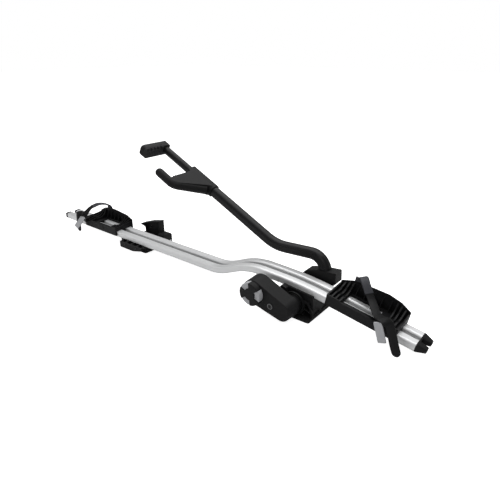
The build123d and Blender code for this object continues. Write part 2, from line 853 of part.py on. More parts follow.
# Flexible shaft from the dial through the hollow shaft and the tube
lane_y = casing_near_y + lane_depth
clutch_end_y = lane_y - cable_bend - overrun
cable_socket_bend = cable_bend + cover_thickness
with BuildLine() as cable_line:
    FilletPolyline(
        (casing_big_x, clutch_end_y, casing_big_z),
        (casing_big_x, lane_y, casing_big_z),
        (pivot_x, lane_y, pivot_z),
        (pivot_x, arm_y, pivot_z),
        (tube_foot_x, arm_y, tube_foot_z),
        (knee_x, arm_y, knee_z),
        (elbow_x, arm_y, elbow_z),
        tuple(arm_point(screw_start - slip)),
        radius=(
            cable_bend,
            cable_bend,
            cable_socket_bend,
            cable_socket_bend,
            knee_radius,
            elbow_radius,
        ),
    )
cable_path = cable_line.wire()
cable_mouth = Plane(origin=cable_path @ 0, z_dir=tuple(cable_path % 0))


def cable_run(radius):
    """A round rod of the given radius along the whole route of the flexible shaft."""
    with BuildPart() as run:
        with BuildSketch(cable_mouth):
            Circle(radius)
        sweep(path=cable_path)
    return run.part


save(cable_run(cable_radius), "drive_cable")

# Hollow pivot shaft and its ring nut inside the casing
shaft_near_y = lane_y + cable_bend + slip
shaft_far_y = arm_y - cable_socket_bend / 2
shaft_nut_wall = 5.0
with BuildPart() as pivot_shaft:
    with BuildSketch(side_plane(shaft_far_y)):
        with Locations((pivot_x, pivot_z)):
            Circle(pivot_radius)
            Circle(pivot_bore_radius, mode=Mode.SUBTRACT)
    extrude(amount=shaft_far_y - shaft_near_y)
save(pivot_shaft.part, "pivot_shaft")

with BuildPart() as shaft_nut:
    with BuildSketch(side_plane(casing_far_y - casing_wall)):
        with Locations((pivot_x, pivot_z)):
            RegularPolygon(pivot_radius + shaft_nut_wall, 6, major_radius=False)
            Circle(pivot_radius + running_fit, mode=Mode.SUBTRACT)
    extrude(amount=casing_far_y - casing_wall - shaft_near_y - slip)
save(shaft_nut.part, "shaft_nut")

# Arm socket: angular block on the far side, from the shaft's eye up to the tube's mouth
socket_wall = 6.0
socket_corner = 4.0
socket_tip_x = -35.0
socket_tip_z = 84.0
socket_ridge_x = 6.0
socket_ridge_z = 102.0
socket_front_x = 65.0
socket_top_z = 108.0
socket_front_z = 78.0
socket_chin_share = 0.8
socket_drop_share = 0.6
socket_screw_shares = (0.08, 0.3)
eye_near_y = body_far_y + slip
with BuildPart() as arm_socket:
    with BuildSketch(side_plane(socket_far_y)):
        with BuildLine():
            Polyline(
                (pivot_x - socket_eye_radius, pivot_z),
                (socket_tip_x, socket_tip_z),
                (socket_tip_x + 2 * socket_corner, socket_tip_z + 2 * socket_corner),
                (socket_ridge_x, socket_ridge_z),
                (socket_front_x - socket_corner / 2, socket_top_z),
                (socket_front_x, socket_front_z),
                (
                    pivot_x + socket_eye_radius * socket_chin_share,
                    pivot_z - socket_eye_radius * socket_drop_share,
                ),
                close=True,
            )
        make_face()
        with Locations((pivot_x, pivot_z)):
            Circle(socket_eye_radius)
    extrude(amount=socket_far_y - socket_near_y)
    far_edges = arm_socket.faces().sort_by(Axis.Y)[-1].edges()
    chamfer(far_edges, socket_corner)
    with BuildSketch(side_plane(socket_near_y)):
        with Locations((pivot_x, pivot_z)):
            Circle(socket_eye_radius - socket_corner)
    extrude(amount=socket_near_y - eye_near_y)
    # the tube's mouth, the shaft's bore and the flexible shaft's way
    with BuildSketch(tube_mouth):
        RectangleRounded(
            tube_width + 2 * running_fit, tube_depth + 2 * running_fit, tube_corner
        )
    extrude(amount=knee_z - tube_foot_z, mode=Mode.SUBTRACT)
    with BuildSketch(side_plane(shaft_far_y + slip)):
        with Locations((pivot_x, pivot_z)):
            Circle(pivot_radius + running_fit)
    extrude(amount=shaft_far_y, mode=Mode.SUBTRACT)
    add(cable_run(cable_radius + slip), mode=Mode.SUBTRACT)
save(arm_socket.part, "arm_socket")

# Two screws through the socket's far side into the tube's wall
socket_screw_radius = 3.0
socket_screw_places = [
    (tube_foot_x + (knee_x - tube_foot_x) * share, tube_foot_z + (knee_z - tube_foot_z) * share)
    for share in socket_screw_shares
]
with BuildPart() as socket_screws:
    with BuildSketch(side_plane(socket_far_y + overrun)):
        with Locations(*socket_screw_places):
            Circle(socket_screw_radius)
    extrude(amount=overrun)
    fillet(socket_screws.faces().sort_by(Axis.Y)[-2:].edges(), overrun / 2)
save(socket_screws.part, "socket_screws")

# Knob casing: a tapered shell on the near side and its cover
casing_depth = casing_far_y - casing_near_y
cover_flare = casing_flare_width * cover_thickness / casing_depth
casing_edge = 2.5
casing_inner_y = casing_near_y + cover_thickness
casing_eye = Vector(pivot_x - casing_big_x, pivot_z - casing_big_z, 0)
casing_side = Vector(-casing_eye.Y, casing_eye.X, 0).normalized()
boss_radius = 4.5
boss_screw_radius = 1.9
boss_head_radius = 3.5
boss_reach = clutch_radius + boss_radius + 2 * slip
mid_boss_share = 0.62
boss_angles = (110, 240)
cover_bite_share = 0.75
mid_boss = (
    Vector(casing_big_x, casing_big_z, 0)
    + casing_eye * mid_boss_share
    + casing_side * (casing_small_radius * mid_boss_share)
)
casing_bosses = [
    (casing_big_x + boss_reach * cos(radians(a)), casing_big_z + boss_reach * sin(radians(a)))
    for a in boss_angles
] + [(mid_boss.X, mid_boss.Y)]


def casing_outline(y, grow):
    """Outline of the casing at width y: two round ends joined by straight sides."""
    big = casing_big_radius + grow
    small = casing_small_radius + grow
    turn = atan2(casing_eye.Y, casing_eye.X)
    lean = acos((big - small) / casing_eye.length)

    def rim(x, z, radius, angle):
        return (x + radius * cos(angle), z + radius * sin(angle))

    with BuildSketch(side_plane(y)) as outline:
        with BuildLine():
            upper = Line(
                rim(casing_big_x, casing_big_z, big, turn + lean),
                rim(pivot_x, pivot_z, small, turn + lean),
            )
            lower = Line(
                rim(pivot_x, pivot_z, small, turn - lean),
                rim(casing_big_x, casing_big_z, big, turn - lean),
            )
            ThreePointArc(upper @ 1, rim(pivot_x, pivot_z, small, turn), lower @ 0)
            ThreePointArc(lower @ 1, rim(casing_big_x, casing_big_z, big, turn + pi), upper @ 0)
        make_face()
    return outline.sketch


with BuildPart() as casing_body:
    add(casing_outline(casing_far_y, casing_flare_width))
    add(casing_outline(casing_inner_y, cover_flare))
    loft(ruled=True)
    fillet(casing_body.faces().sort_by(Axis.Y)[-1].edges(), casing_edge)
    extrude(
        casing_outline(casing_far_y - casing_wall, -casing_wall),
        amount=casing_depth,
        mode=Mode.SUBTRACT,
    )
    with BuildSketch(side_plane(casing_far_y - casing_wall)):
        with Locations(*casing_bosses):
            Circle(boss_radius)
    extrude(amount=casing_depth - casing_wall - cover_thickness)
    with BuildSketch(side_plane(casing_far_y)):
        with Locations(*casing_bosses):
            Circle(boss_screw_radius + running_fit)
    extrude(amount=casing_depth, mode=Mode.SUBTRACT)
    with BuildSketch(side_plane(casing_far_y)):
        with Locations(*casing_bosses):
            Circle(boss_head_radius + slip)
    extrude(amount=casing_wall, mode=Mode.SUBTRACT)
    with BuildSketch(side_plane(casing_far_y)):
        with Locations((pivot_x, pivot_z)):
            Circle(pivot_radius + running_fit)
    extrude(amount=2 * casing_wall, mode=Mode.SUBTRACT)
save(casing_body.part, "casing_body")

with BuildPart() as casing_cover:
    add(casing_outline(casing_inner_y, cover_flare))
    add(casing_outline(casing_near_y, 0))
    loft(ruled=True)
    fillet(casing_cover.faces().sort_by(Axis.Y)[0].edges(), casing_edge)
    with BuildSketch(side_plane(casing_inner_y)):
        with Locations((casing_big_x, casing_big_z)):
            Circle(spindle_radius + running_fit)
        with Locations((lock_x, lock_z)):
            Circle(lock_ring_radius + running_fit)
    extrude(amount=cover_thickness, mode=Mode.SUBTRACT)
    with BuildSketch(side_plane(casing_inner_y)):
        with Locations(*casing_bosses):
            Circle(boss_screw_radius + running_fit)
    extrude(amount=cover_thickness / 2, mode=Mode.SUBTRACT)
save(casing_cover.part, "casing_cover")

with BuildPart() as casing_screws:
    with BuildSketch(side_plane(casing_far_y - running_fit)):
        with Locations(*casing_bosses):
            Circle(boss_head_radius)
    extrude(amount=casing_wall - running_fit)
    with BuildSketch(side_plane(casing_far_y - casing_wall)):
        with Locations(*casing_bosses):
            Circle(boss_screw_radius)
    extrude(amount=casing_depth - casing_wall - cover_thickness * cover_bite_share)
save(casing_screws.part, "casing_screws")

# Lock: a ring in the cover and the key cylinder in it
with BuildPart() as lock_ring:
    with BuildSketch(side_plane(casing_inner_y)):
        with Locations((lock_x, lock_z)):
            Circle(lock_ring_radius)
            Circle(lock_radius + running_fit, mode=Mode.SUBTRACT)
    extrude(amount=cover_thickness + lock_proud)
    fillet(lock_ring.faces().sort_by(Axis.Y)[0].edges(), lock_proud / 4)
save(lock_ring.part, "lock_ring")

key_slot_width = 1.6
key_slot_depth = 6.0
with BuildPart() as lock_cylinder:
    with BuildSketch(side_plane(casing_near_y + lock_length - 2 * lock_proud)):
        with Locations((lock_x, lock_z)):
            Circle(lock_radius)
    extrude(amount=lock_length - lock_proud)
    with BuildSketch(side_plane(casing_near_y + key_slot_depth)):
        with Locations((lock_x, lock_z)):
            Rectangle(key_slot_width, lock_radius)
    extrude(amount=key_slot_depth + 2 * lock_proud, mode=Mode.SUBTRACT)
save(lock_cylinder.part, "lock_cylinder")

# Dial: three-lobed hub, three grips between the lobes, spindle, clutch disc and spring
dial_far_y = casing_near_y - slip
dial_edge = 2.5
grip_angles = (5, 125, 245)
grip_sweep = 120 - dial_lobe_angle
hub_step = 3.0


def grip_face(angle, grow):
    """Sector between the dial's core and its rim, wider or narrower by grow at its sides."""
    reach = 2 * dial_radius
    half = radians(grip_sweep / 2)
    with BuildSketch(side_plane(dial_far_y)) as sector:
        with Locations((casing_big_x, casing_big_z)):
            Circle(dial_radius)
            Circle(dial_core_radius - grow, mode=Mode.SUBTRACT)
        turn = radians(angle)
        sides = [
            (
                casing_big_x + reach * cos(turn + s * half) - s * grow * sin(turn + s * half),
                casing_big_z + reach * sin(turn + s * half) + s * grow * cos(turn + s * half),
            )
            for s in (-1, 1)
        ]
        start = (
            casing_big_x - grow / sin(half) * cos(turn),
            casing_big_z - grow / sin(half) * sin(turn),
        )
        with BuildLine():
            Polyline(start, *sides, close=True)
        make_face(mode=Mode.INTERSECT)
    return sector.sketch


with BuildPart() as dial_hub:
    with BuildSketch(side_plane(dial_far_y)):
        with Locations((casing_big_x, casing_big_z)):
            Circle(dial_radius)
    extrude(amount=dial_depth)
    fillet(dial_hub.faces().sort_by(Axis.Y)[0].edges(), dial_edge)
    for angle in grip_angles:
        extrude(
            grip_face(angle, running_fit), amount=dial_depth + overrun, mode=Mode.SUBTRACT
        )
    with BuildSketch(side_plane(dial_far_y)):
        with Locations((casing_big_x, casing_big_z)):
            Circle(spindle_radius + running_fit)
    extrude(amount=dial_depth / 2, mode=Mode.SUBTRACT)
save(dial_hub.part, "dial_hub")

with BuildPart() as dial_grips:
    for angle in grip_angles:
        extrude(grip_face(angle, -running_fit), amount=dial_depth - hub_step)
    rims = dial_grips.faces().filter_by(Axis.Y).sort_by(Axis.Y)[:3].edges()
    fillet(rims.filter_by(GeomType.CIRCLE), dial_edge / 2)
save(dial_grips.part, "dial_grips")

with BuildPart() as dial_spindle:
    with BuildSketch(side_plane(clutch_end_y - slip)):
        with Locations((casing_big_x, casing_big_z)):
            Circle(spindle_radius)
    extrude(amount=clutch_end_y - slip - dial_far_y + dial_depth / 2 - slip)
save(dial_spindle.part, "dial_spindle")


def spindle_ring(near_y, outer, thickness):
    """A ring on the dial's spindle, from near_y towards the far side."""
    with BuildPart() as ring:
        with BuildSketch(side_plane(near_y + thickness)):
            with Locations((casing_big_x, casing_big_z)):
                Circle(outer)
                Circle(spindle_radius + running_fit, mode=Mode.SUBTRACT)
        extrude(amount=thickness)
    return ring.part


spring_share = 0.6
clutch_near_y = casing_inner_y + slip
spring_near_y = clutch_near_y + clutch_thickness
save(spindle_ring(clutch_near_y, clutch_radius, clutch_thickness), "clutch_disc")
save(spindle_ring(spring_near_y, clutch_radius * spring_share, spring_thickness), "clutch_spring")

# Jaws. Lower jaw: sleeve on the tube, web with a trough, and a round bar that ends in the finger
sleeve_wall = 3.5
finger_bend_radius = 28.0
with BuildLine(jaw_plane) as finger_line:
    FilletPolyline(
        (finger_tip - finger_radius, finger_y),
        (finger_bend, finger_y),
        (jaw_heel_s, jaw_heel_y),
        radius=finger_bend_radius,
    )
finger_path = finger_line.wire()
finger_mouth = Plane(origin=finger_path @ 0, z_dir=tuple(finger_path % 0))
bush_radius = bar_radius + bar_wall
wedge_reach = tube_depth / 2 + sleeve_wall
with BuildPart() as jaw_wedge:
    with BuildSketch(arm_plane(sleeve_start)):
        with BuildLine():
            Polyline(
                (finger_y - arm_y, -finger_radius),
                (0, -wedge_reach),
                (0, wedge_reach),
                (finger_y - arm_y, finger_radius),
                close=True,
            )
        make_face()
    extrude(amount=sleeve_end - sleeve_start)
    with BuildSketch(jaw_plane.offset(-wedge_reach)):
        with BuildLine():
            Polyline(
                (trough_s, finger_y),
                (trough_s, trough_far_y - jaw_rubber),
                (sleeve_end, trough_far_y),
                (sleeve_end, arm_y),
                (sleeve_start, arm_y),
                (jaw_heel_s, jaw_heel_y),
                (finger_bend - finger_radius, finger_y + finger_radius),
                (finger_bend, finger_y),
                close=True,
            )
        make_face()
    extrude(amount=2 * wedge_reach, mode=Mode.INTERSECT)
with BuildPart() as lower_jaw:
    with BuildSketch(arm_plane(sleeve_start)):
        RectangleRounded(
            tube_width + 2 * sleeve_wall, tube_depth + 2 * sleeve_wall, tube_corner + sleeve_wall
        )
    extrude(amount=sleeve_end - sleeve_start)
    add(jaw_wedge.part)
    with BuildSketch(finger_mouth):
        Circle(finger_radius)
    sweep(path=finger_path)
    with BuildSketch(jaw_plane):
        with BuildLine():
            tip = finger_tip - finger_radius
            Line((tip, finger_y - finger_radius), (tip, finger_y))
            Line((tip, finger_y), (tip + finger_radius, finger_y))
            CenterArc((tip, finger_y), finger_radius, 270, 90)
        make_face()
    revolve(axis=Axis(arm_point(tip, finger_y), tuple(arm_along)))
    with BuildSketch(arm_plane(sleeve_start)):
        RectangleRounded(
            tube_width + 2 * running_fit, tube_depth + 2 * running_fit, tube_corner
        )
    extrude(amount=tube_end + slip - sleeve_start, mode=Mode.SUBTRACT)
    with BuildSketch(arm_plane(sleeve_start)):
        Circle(bush_radius + running_fit)
    extrude(amount=sleeve_end - sleeve_start + overrun, mode=Mode.SUBTRACT)
save(lower_jaw.part, "lower_jaw")

with BuildPart() as jaw_bush:
    with BuildSketch(arm_plane(tube_end + slip)):
        Circle(bush_radius)
        Circle(bar_radius + running_fit, mode=Mode.SUBTRACT)
    extrude(amount=sleeve_end - tube_end - slip)
save(jaw_bush.part, "jaw_bush")

rubber_ribs = 9
rubber_near_y = finger_y + finger_radius + slip
rubber_far_y = trough_far_y - 2 * jaw_rubber
rubber_pitch = (rubber_far_y - rubber_near_y) / rubber_ribs
rubber_edge_y = trough_far_y - jaw_rubber - slip
rubber_half = finger_radius - slip
with BuildPart() as lower_jaw_rubber:
    with BuildSketch(jaw_plane.offset(-rubber_half)):
        with Locations((trough_s, rubber_near_y)):
            Rectangle(jaw_rubber / 2, rubber_edge_y - rubber_near_y, align=(Align.MIN, Align.MIN))
        with Locations((trough_s, rubber_edge_y)):
            Rectangle(sleeve_end - trough_s, jaw_rubber / 2, align=(Align.MIN, Align.MAX))
        with Locations((trough_s + jaw_rubber / 2, (rubber_near_y + rubber_far_y) / 2)):
            with GridLocations(jaw_rubber, rubber_pitch, 1, rubber_ribs):
                Rectangle(jaw_rubber, rubber_pitch / 2)
    extrude(amount=2 * rubber_half)
save(lower_jaw_rubber.part, "lower_jaw_rubber")

# Sliding bar, its nut, the screw and the screw's bearing
pad_joint = pad_face + pad_rubber
bar_end = pad_back - bar_wall
with BuildPart() as jaw_bar:
    with BuildSketch(arm_plane(bar_foot)):
        Circle(bar_radius)
        Circle(bar_radius - bar_wall, mode=Mode.SUBTRACT)
    extrude(amount=bar_end - bar_foot)
save(jaw_bar.part, "jaw_bar")

with BuildPart() as jaw_nut:
    with BuildSketch(arm_plane(bar_foot)):
        Circle(bar_radius - bar_wall - running_fit)
        Circle(screw_radius + running_fit, mode=Mode.SUBTRACT)
    extrude(amount=nut_length)
save(jaw_nut.part, "jaw_nut")

with BuildPart() as jaw_screw:
    with BuildSketch(arm_plane(screw_start)):
        Circle(screw_radius)
    extrude(amount=screw_length)
    with BuildSketch(arm_plane(screw_start)):
        Circle(2 * screw_radius)
    extrude(amount=screw_radius)
    chamfer(jaw_screw.edges().filter_by(GeomType.CIRCLE).sort_by(Axis.X)[0], screw_radius / 4)
save(jaw_screw.part, "jaw_screw")

with BuildPart() as screw_bearing:
    with BuildSketch(arm_plane(screw_start + screw_radius + slip)):
        RectangleRounded(
            tube_width - 2 * (tube_wall + running_fit),
            tube_depth - 2 * (tube_wall + running_fit),
            tube_corner - tube_wall,
        )
        Circle(screw_radius + running_fit, mode=Mode.SUBTRACT)
    extrude(amount=bearing_length)
save(screw_bearing.part, "screw_bearing")

# Upper jaw: a rounded block on the bar's end with a ribbed rubber face towards the lower jaw
pad_length = pad_far_y - pad_near_y
pad_mid_y = (pad_far_y + pad_near_y) / 2
pad_corner = 12.0
pad_far_corner = 8.0
pad_ribs = 8
pad_crown = 3.0


def pad_outline(s, inset):
    """Outline of the upper jaw across the arm: well rounded at its near end."""
    with BuildSketch(arm_plane(s)) as outline:
        with BuildLine():
            FilletPolyline(
                (pad_near_y + inset - arm_y, -pad_height / 2 + inset),
                (pad_near_y + inset - arm_y, pad_height / 2 - inset),
                (pad_far_y - inset - arm_y, pad_height / 2 - inset),
                (pad_far_y - inset - arm_y, -pad_height / 2 + inset),
                radius=(
                    pad_corner - inset,
                    pad_corner - inset,
                    pad_far_corner - inset,
                    pad_far_corner - inset,
                ),
                close=True,
            )
        make_face()
    return outline.sketch


with BuildPart() as upper_jaw:
    extrude(pad_outline(pad_joint, 0), amount=pad_back - pad_joint)
    fillet(upper_jaw.faces().sort_by(Axis(arm_point(0), tuple(arm_along)))[-1].edges(), pad_crown)
    with BuildSketch(arm_plane(pad_joint)):
        Circle(bar_radius + running_fit)
    extrude(amount=bar_end + running_fit - pad_joint, mode=Mode.SUBTRACT)
save(upper_jaw.part, "upper_jaw")

with BuildPart() as upper_jaw_rubber:
    extrude(pad_outline(pad_joint, slip), amount=-pad_rubber)
    rib_pitch = (pad_length - bar_radius * 2 - pad_corner * 2) / pad_ribs
    with BuildSketch(arm_plane(pad_face)):
        with Locations((pad_near_y + pad_corner + rib_pitch * pad_ribs / 2 - arm_y, -pad_height / 2)):
            with GridLocations(rib_pitch, pad_height, pad_ribs, 1):
                Rectangle(rib_pitch / 2, pad_height / 2)
    extrude(amount=pad_rubber / 2, mode=Mode.SUBTRACT)
    with BuildSketch(arm_plane(pad_face)):
        Circle(bar_radius + slip)
    extrude(amount=pad_rubber, mode=Mode.SUBTRACT)
save(upper_jaw_rubber.part, "upper_jaw_rubber")

# Wheel tray, in its own frame: x along the rail and outwards, z up from the groove line
half_tray = tray_length / 2
far_inner = tray_far_y - tray_wall
near_inner = tray_near_y + tray_wall
tray_roof = lobe_rise + tray_gap
floor_top = tray_roof + tray_floor
ridge_shares = ((-1, 0.58), (-0.68, 0.83), (-0.06, 0.96), (0.35, 1), (0.70, 0.885), (1, 0.62))
near_shares = ((-1, 0.9), (-0.66, 0.85), (-0.57, 0.7), (0.71, 0.7), (0.8, 1), (1, 1))
near_mid_height = near_end_height * near_shares[2][1]
window_rear = inner_deck_length - half_tray
window_front = half_tray - outer_deck_length
tray_corner_share = 0.9
tray_webs = 5
panel_rear_share = -0.2
panel_front_share = 0.36


def wall_height(shares, height, x):
    """Height of a wall of the tray at a place along it."""
    for (a, low), (b, high) in zip(shares, shares[1:]):
        if a * half_tray <= x <= b * half_tray:
            step = (x - a * half_tray) / ((b - a) * half_tray)
            return height * (low + (high - low) * step)
    return height * shares[-1][1]


with BuildPart() as tray:
    # high far wall
    with BuildSketch(side_plane(tray_far_y)):
        with BuildLine():
            Polyline(
                (-half_tray, -tray_skirt),
                *[(x * half_tray, z * ridge_height) for x, z in ridge_shares],
                (half_tray, -tray_skirt),
                close=True,
            )
        make_face()
    extrude(amount=tray_wall)
    # low near wall with its raised panel
    with BuildSketch(side_plane(near_inner)):
        with BuildLine():
            Polyline(
                (-half_tray, -tray_skirt),
                *[(x * half_tray, z * near_end_height) for x, z in near_shares],
                (half_tray, -tray_skirt),
                close=True,
            )
        make_face()
    extrude(amount=tray_wall)
    with BuildSketch(side_plane(tray_near_y)):
        with Locations(
            ((panel_rear_share + panel_front_share) / 2 * half_tray, near_mid_height / 2 - slip)
        ):
            RectangleRounded(
                (panel_front_share - panel_rear_share) * half_tray,
                near_mid_height - 2 * slip,
                tray_wall / 2,
            )
    extrude(amount=tray_wall / 3)
    # floor over the rail, with the window and the keel in the rail's valley
    with BuildSketch(Plane.XY.offset(tray_roof)):
        with Locations((0, (tray_near_y + tray_far_y) / 2)):
            Rectangle(tray_length, tray_far_y - tray_near_y)
        with Locations(
            ((window_rear + window_front) / 2, (window_near_y + window_far_y) / 2)
        ):
            RectangleRounded(
                window_front - window_rear,
                window_far_y - window_near_y,
                tray_wall,
                mode=Mode.SUBTRACT,
            )
    extrude(amount=tray_floor)
    for first, last in ((-half_tray, window_rear - tray_wall), (window_front + tray_wall, half_tray)):
        with BuildSketch(cross_plane(first)):
            with Locations((0, (tray_gap + floor_top) / 2)):
                Rectangle(valley - 2 * tray_gap, floor_top - tray_gap)
        extrude(amount=last - first)
    # ribs and end walls across, cut below to the wheel's own curve
    rib_places = [
        side * (half_tray - tray_rib / 2 - (k + 1) * tray_rib_pitch)
        for side in (-1, 1)
        for k in range(tray_ribs)
    ]
    for x in rib_places + [-half_tray + tray_rib / 2, half_tray - tray_rib / 2]:
        with BuildSketch(cross_plane(x - tray_rib / 2)):
            with BuildLine():
                Polyline(
                    (near_inner, tray_roof),
                    (near_inner, wall_height(near_shares, near_end_height, x) - tray_rib / 4),
                    (window_far_y, near_end_height + tray_rib / 2),
                    (far_inner, wall_height(ridge_shares, ridge_height, x) - tray_rib),
                    (far_inner, tray_roof),
                    close=True,
                )
            make_face()
        extrude(amount=tray_rib)
    # triangular webs behind the far wall, between the ribs
    web_reach = far_inner - window_far_y - tray_wall
    web_pitch = 2 * tray_rib_pitch
    web_places = [window_rear + web_pitch / 2 + web_pitch * k for k in range(tray_webs)]
    for x in web_places:
        with BuildSketch(cross_plane(x - tray_rib / 4)):
            with BuildLine():
                Polyline(
                    (far_inner - web_reach, floor_top),
                    (far_inner, floor_top),
                    (far_inner, wall_height(ridge_shares, ridge_height, x) - 2 * tray_rib),
                    close=True,
                )
            make_face()
        extrude(amount=tray_rib / 2)
    # lengthwise rail between the webs and the window
    with BuildSketch(cross_plane(window_rear)):
        with Locations((far_inner - web_reach, floor_top)):
            Rectangle(tray_rib / 2, tray_rib, align=(Align.MAX, Align.MIN))
    extrude(amount=window_front - window_rear)
    # the tyre's way
    with BuildSketch(Plane.YZ):
        with Locations((tyre_y, floor_top + tyre_radius)):
            Circle(tyre_radius)
    revolve(
        axis=Axis((0, 0, floor_top + wheel_radius), (0, 1, 0)),
        mode=Mode.SUBTRACT,
    )
    corners = tray.edges().filter_by(Axis.Z).group_by(Axis.X)
    fillet(
        [e for group in (corners[0], corners[-1]) for e in group
         if abs(e.center().Y - tray_near_y) < slip or abs(e.center().Y - tray_far_y) < slip],
        tray_wall * tray_corner_share,
    )


def place(piece, frame, side):
    """Puts a piece from the tray's own frame on the rail; side -1 turns outwards to the rear."""
    if side < 0:
        piece = piece.mirror(Plane.YZ)
    return piece.moved(frame.location)


front_frame = Plane(
    origin=(front_tray_x, 0, rail_groove_z(front_tray_x)),
    x_dir=tuple(rail_forward),
    z_dir=tuple(rail_normal),
)
rear_frame = Plane(origin=(rear_tray_x, 0, rail_run_z))

# Straps: stations along each route in shares of the tray's half length, far wall and ridge,
# each with the direction that lies across the strap
front_route_shares = (
    ((-0.525, 1.15, 1.075), (0.45, 0.89, 0)),
    ((-0.44, 1.05, 1.19), (0.45, 0.89, 0)),
    ((-0.305, 0.73, 1.11), (0.45, 0.89, 0)),
    ((-0.09, 0.44, 0.79), (0.5, 0.86, 0)),
    ((0.445, -0.76, 0.56), (0.6, 0.8, 0)),
    ((0.57, -0.98, 0.78), (0.78, 0.6, 0.15)),
    ((0.7, -1.08, 0.94), (0.9, 0.2, 0.38)),
    ((0.84, -1.2, 0.74), (0.775, 0, 0.63)),
    ((1.26, -1.6, -0.36), (0.775, 0, 0.63)),
)
rear_route_shares = (
    ((0.45, 1.12, 1.08), (1, 0.1, 0)),
    ((0.5, 0.9, 1.2), (1, 0.1, 0)),
    ((0.57, 0.56, 1.3), (1, 0.1, 0)),
    ((0.67, 0.1, 1.34), (1, 0.1, 0)),
    ((0.78, -0.6, 1.24), (1, 0.1, 0)),
    ((0.85, -0.95, 1.1), (1, 0.1, 0.1)),
    ((0.92, -1.06, 0.99), (0.96, 0.15, 0.2)),
    ((1.06, -1.2, 0.8), (0.97, 0, 0.2)),
    ((1.13, -1.3, -0.6), (0.97, 0, 0.2)),
)
front_anchor_stations = 4
rear_anchor_stations = 3


def route_frames(shares):
    """Frames along a strap: local x across it, local z along it."""
    points = [
        Vector(x * half_tray, y * tray_far_y, z * ridge_height) for (x, y, z), _ in shares
    ]
    frames = []
    for k, (_, across) in enumerate(shares):
        before = points[max(k - 1, 0)]
        after = points[min(k + 1, len(points) - 1)]
        along = (after - before).normalized()
        side = Vector(*across)
        side = (side - along * side.dot(along)).normalized()
        frames.append(Plane(origin=points[k], x_dir=side, z_dir=along))
    return frames


def band(frames, width, thickness):
    """A flat band through the given frames."""
    with BuildPart() as piece:
        for frame in frames:
            with BuildSketch(frame):
                Rectangle(width, thickness)
        loft(ruled=True)
    return piece.part


buckle_depth = 12.0
buckle_height = 22.0
hook_thickness = 3.0
hook_drop = 6.0
lug_thickness = 2.2
lever_barrel_radius = 4.0
anchor_root_thickness = 5.0
anchor_root_height = 26.0


def make_anchor(frames, root_x):
    """The strap's anchor: a root on the far wall's outer face and a band over the ridge."""
    with BuildPart() as anchor:
        add(band(frames, anchor_width, anchor_thickness))
        with BuildSketch(side_plane(tray_far_y + slip + anchor_root_thickness)):
            with Locations((root_x, frames[0].origin.Z)):
                Rectangle(anchor_width, anchor_root_height, align=(Align.CENTER, Align.MAX))
        extrude(amount=anchor_root_thickness)
    return anchor.part


class Clasp:
    """Places of one buckle and its lever in the tray's own frame."""

    def __init__(self, pin_x, pin_z, tilt, lean, wall_top):
        pin_y = tray_near_y - buckle_depth - lever_barrel_radius - overrun
        self.pin = Vector(pin_x, pin_y, pin_z)
        self.lean = lean
        self.across = Vector(cos(radians(tilt)), 0, sin(radians(tilt)))
        self.wall_top = wall_top
        self.face = Plane(
            origin=(pin_x, tray_near_y - slip, pin_z), x_dir=self.across, z_dir=(0, -1, 0)
        )

    def grip_plane(self):
        """Plane through the pin along the grip, turned outwards by the lean."""
        down = Vector(self.across.Z, 0, -self.across.X)
        out = Vector(0, -1, 0)
        facing = out * cos(radians(self.lean)) - down * sin(radians(self.lean))
        return Plane(origin=self.pin, x_dir=self.across, z_dir=facing)

    def pin_plane(self, offset):
        """Plane across the pin, offset along it from its middle."""
        return Plane(
            origin=self.pin + self.across * offset, x_dir=(0, 1, 0), z_dir=self.across
        )


def make_buckle(clasp):
    """Buckle: a block on the near wall's face, a hook over its top and two lugs for the pin."""
    half_lever = lever_width / 2
    with BuildPart() as buckle:
        with BuildSketch(clasp.face):
            with Locations((0, -buckle_height / 3)):
                RectangleRounded(buckle_width, buckle_height, lever_barrel_radius)
        extrude(amount=buckle_depth - slip)
        with BuildSketch(cross_plane(clasp.pin.X - buckle_width / 2 + lever_barrel_radius)):
            with BuildLine():
                Polyline(
                    (tray_near_y - slip, clasp.wall_top - hook_drop),
                    (tray_near_y - slip, clasp.wall_top + slip),
                    (near_inner, clasp.wall_top + slip),
                    (near_inner, clasp.wall_top + slip + hook_thickness),
                    (tray_near_y - hook_thickness, clasp.wall_top + slip + hook_thickness),
                    (tray_near_y - hook_thickness, clasp.wall_top - hook_drop),
                    close=True,
                )
            make_face()
        extrude(amount=buckle_width - 2 * lever_barrel_radius)
        for first in (-half_lever - slip - lug_thickness, half_lever + slip):
            with BuildSketch(clasp.pin_plane(first)):
                Circle(lever_barrel_radius)
                with Locations((lever_barrel_radius, 0)):
                    Rectangle(2 * lever_barrel_radius + overrun, 2 * lever_barrel_radius)
            extrude(amount=lug_thickness)
        with BuildSketch(clasp.pin_plane(-buckle_width)):
            Circle(lever_pin_radius + running_fit)
        extrude(amount=2 * buckle_width, mode=Mode.SUBTRACT)
    return buckle.part


def make_pin(clasp):
    """The lever's pin."""
    half_pin = lever_width / 2 + slip + lug_thickness
    with BuildPart() as pin:
        with BuildSketch(clasp.pin_plane(-half_pin)):
            Circle(lever_pin_radius)
        extrude(amount=2 * half_pin)
    return pin.part


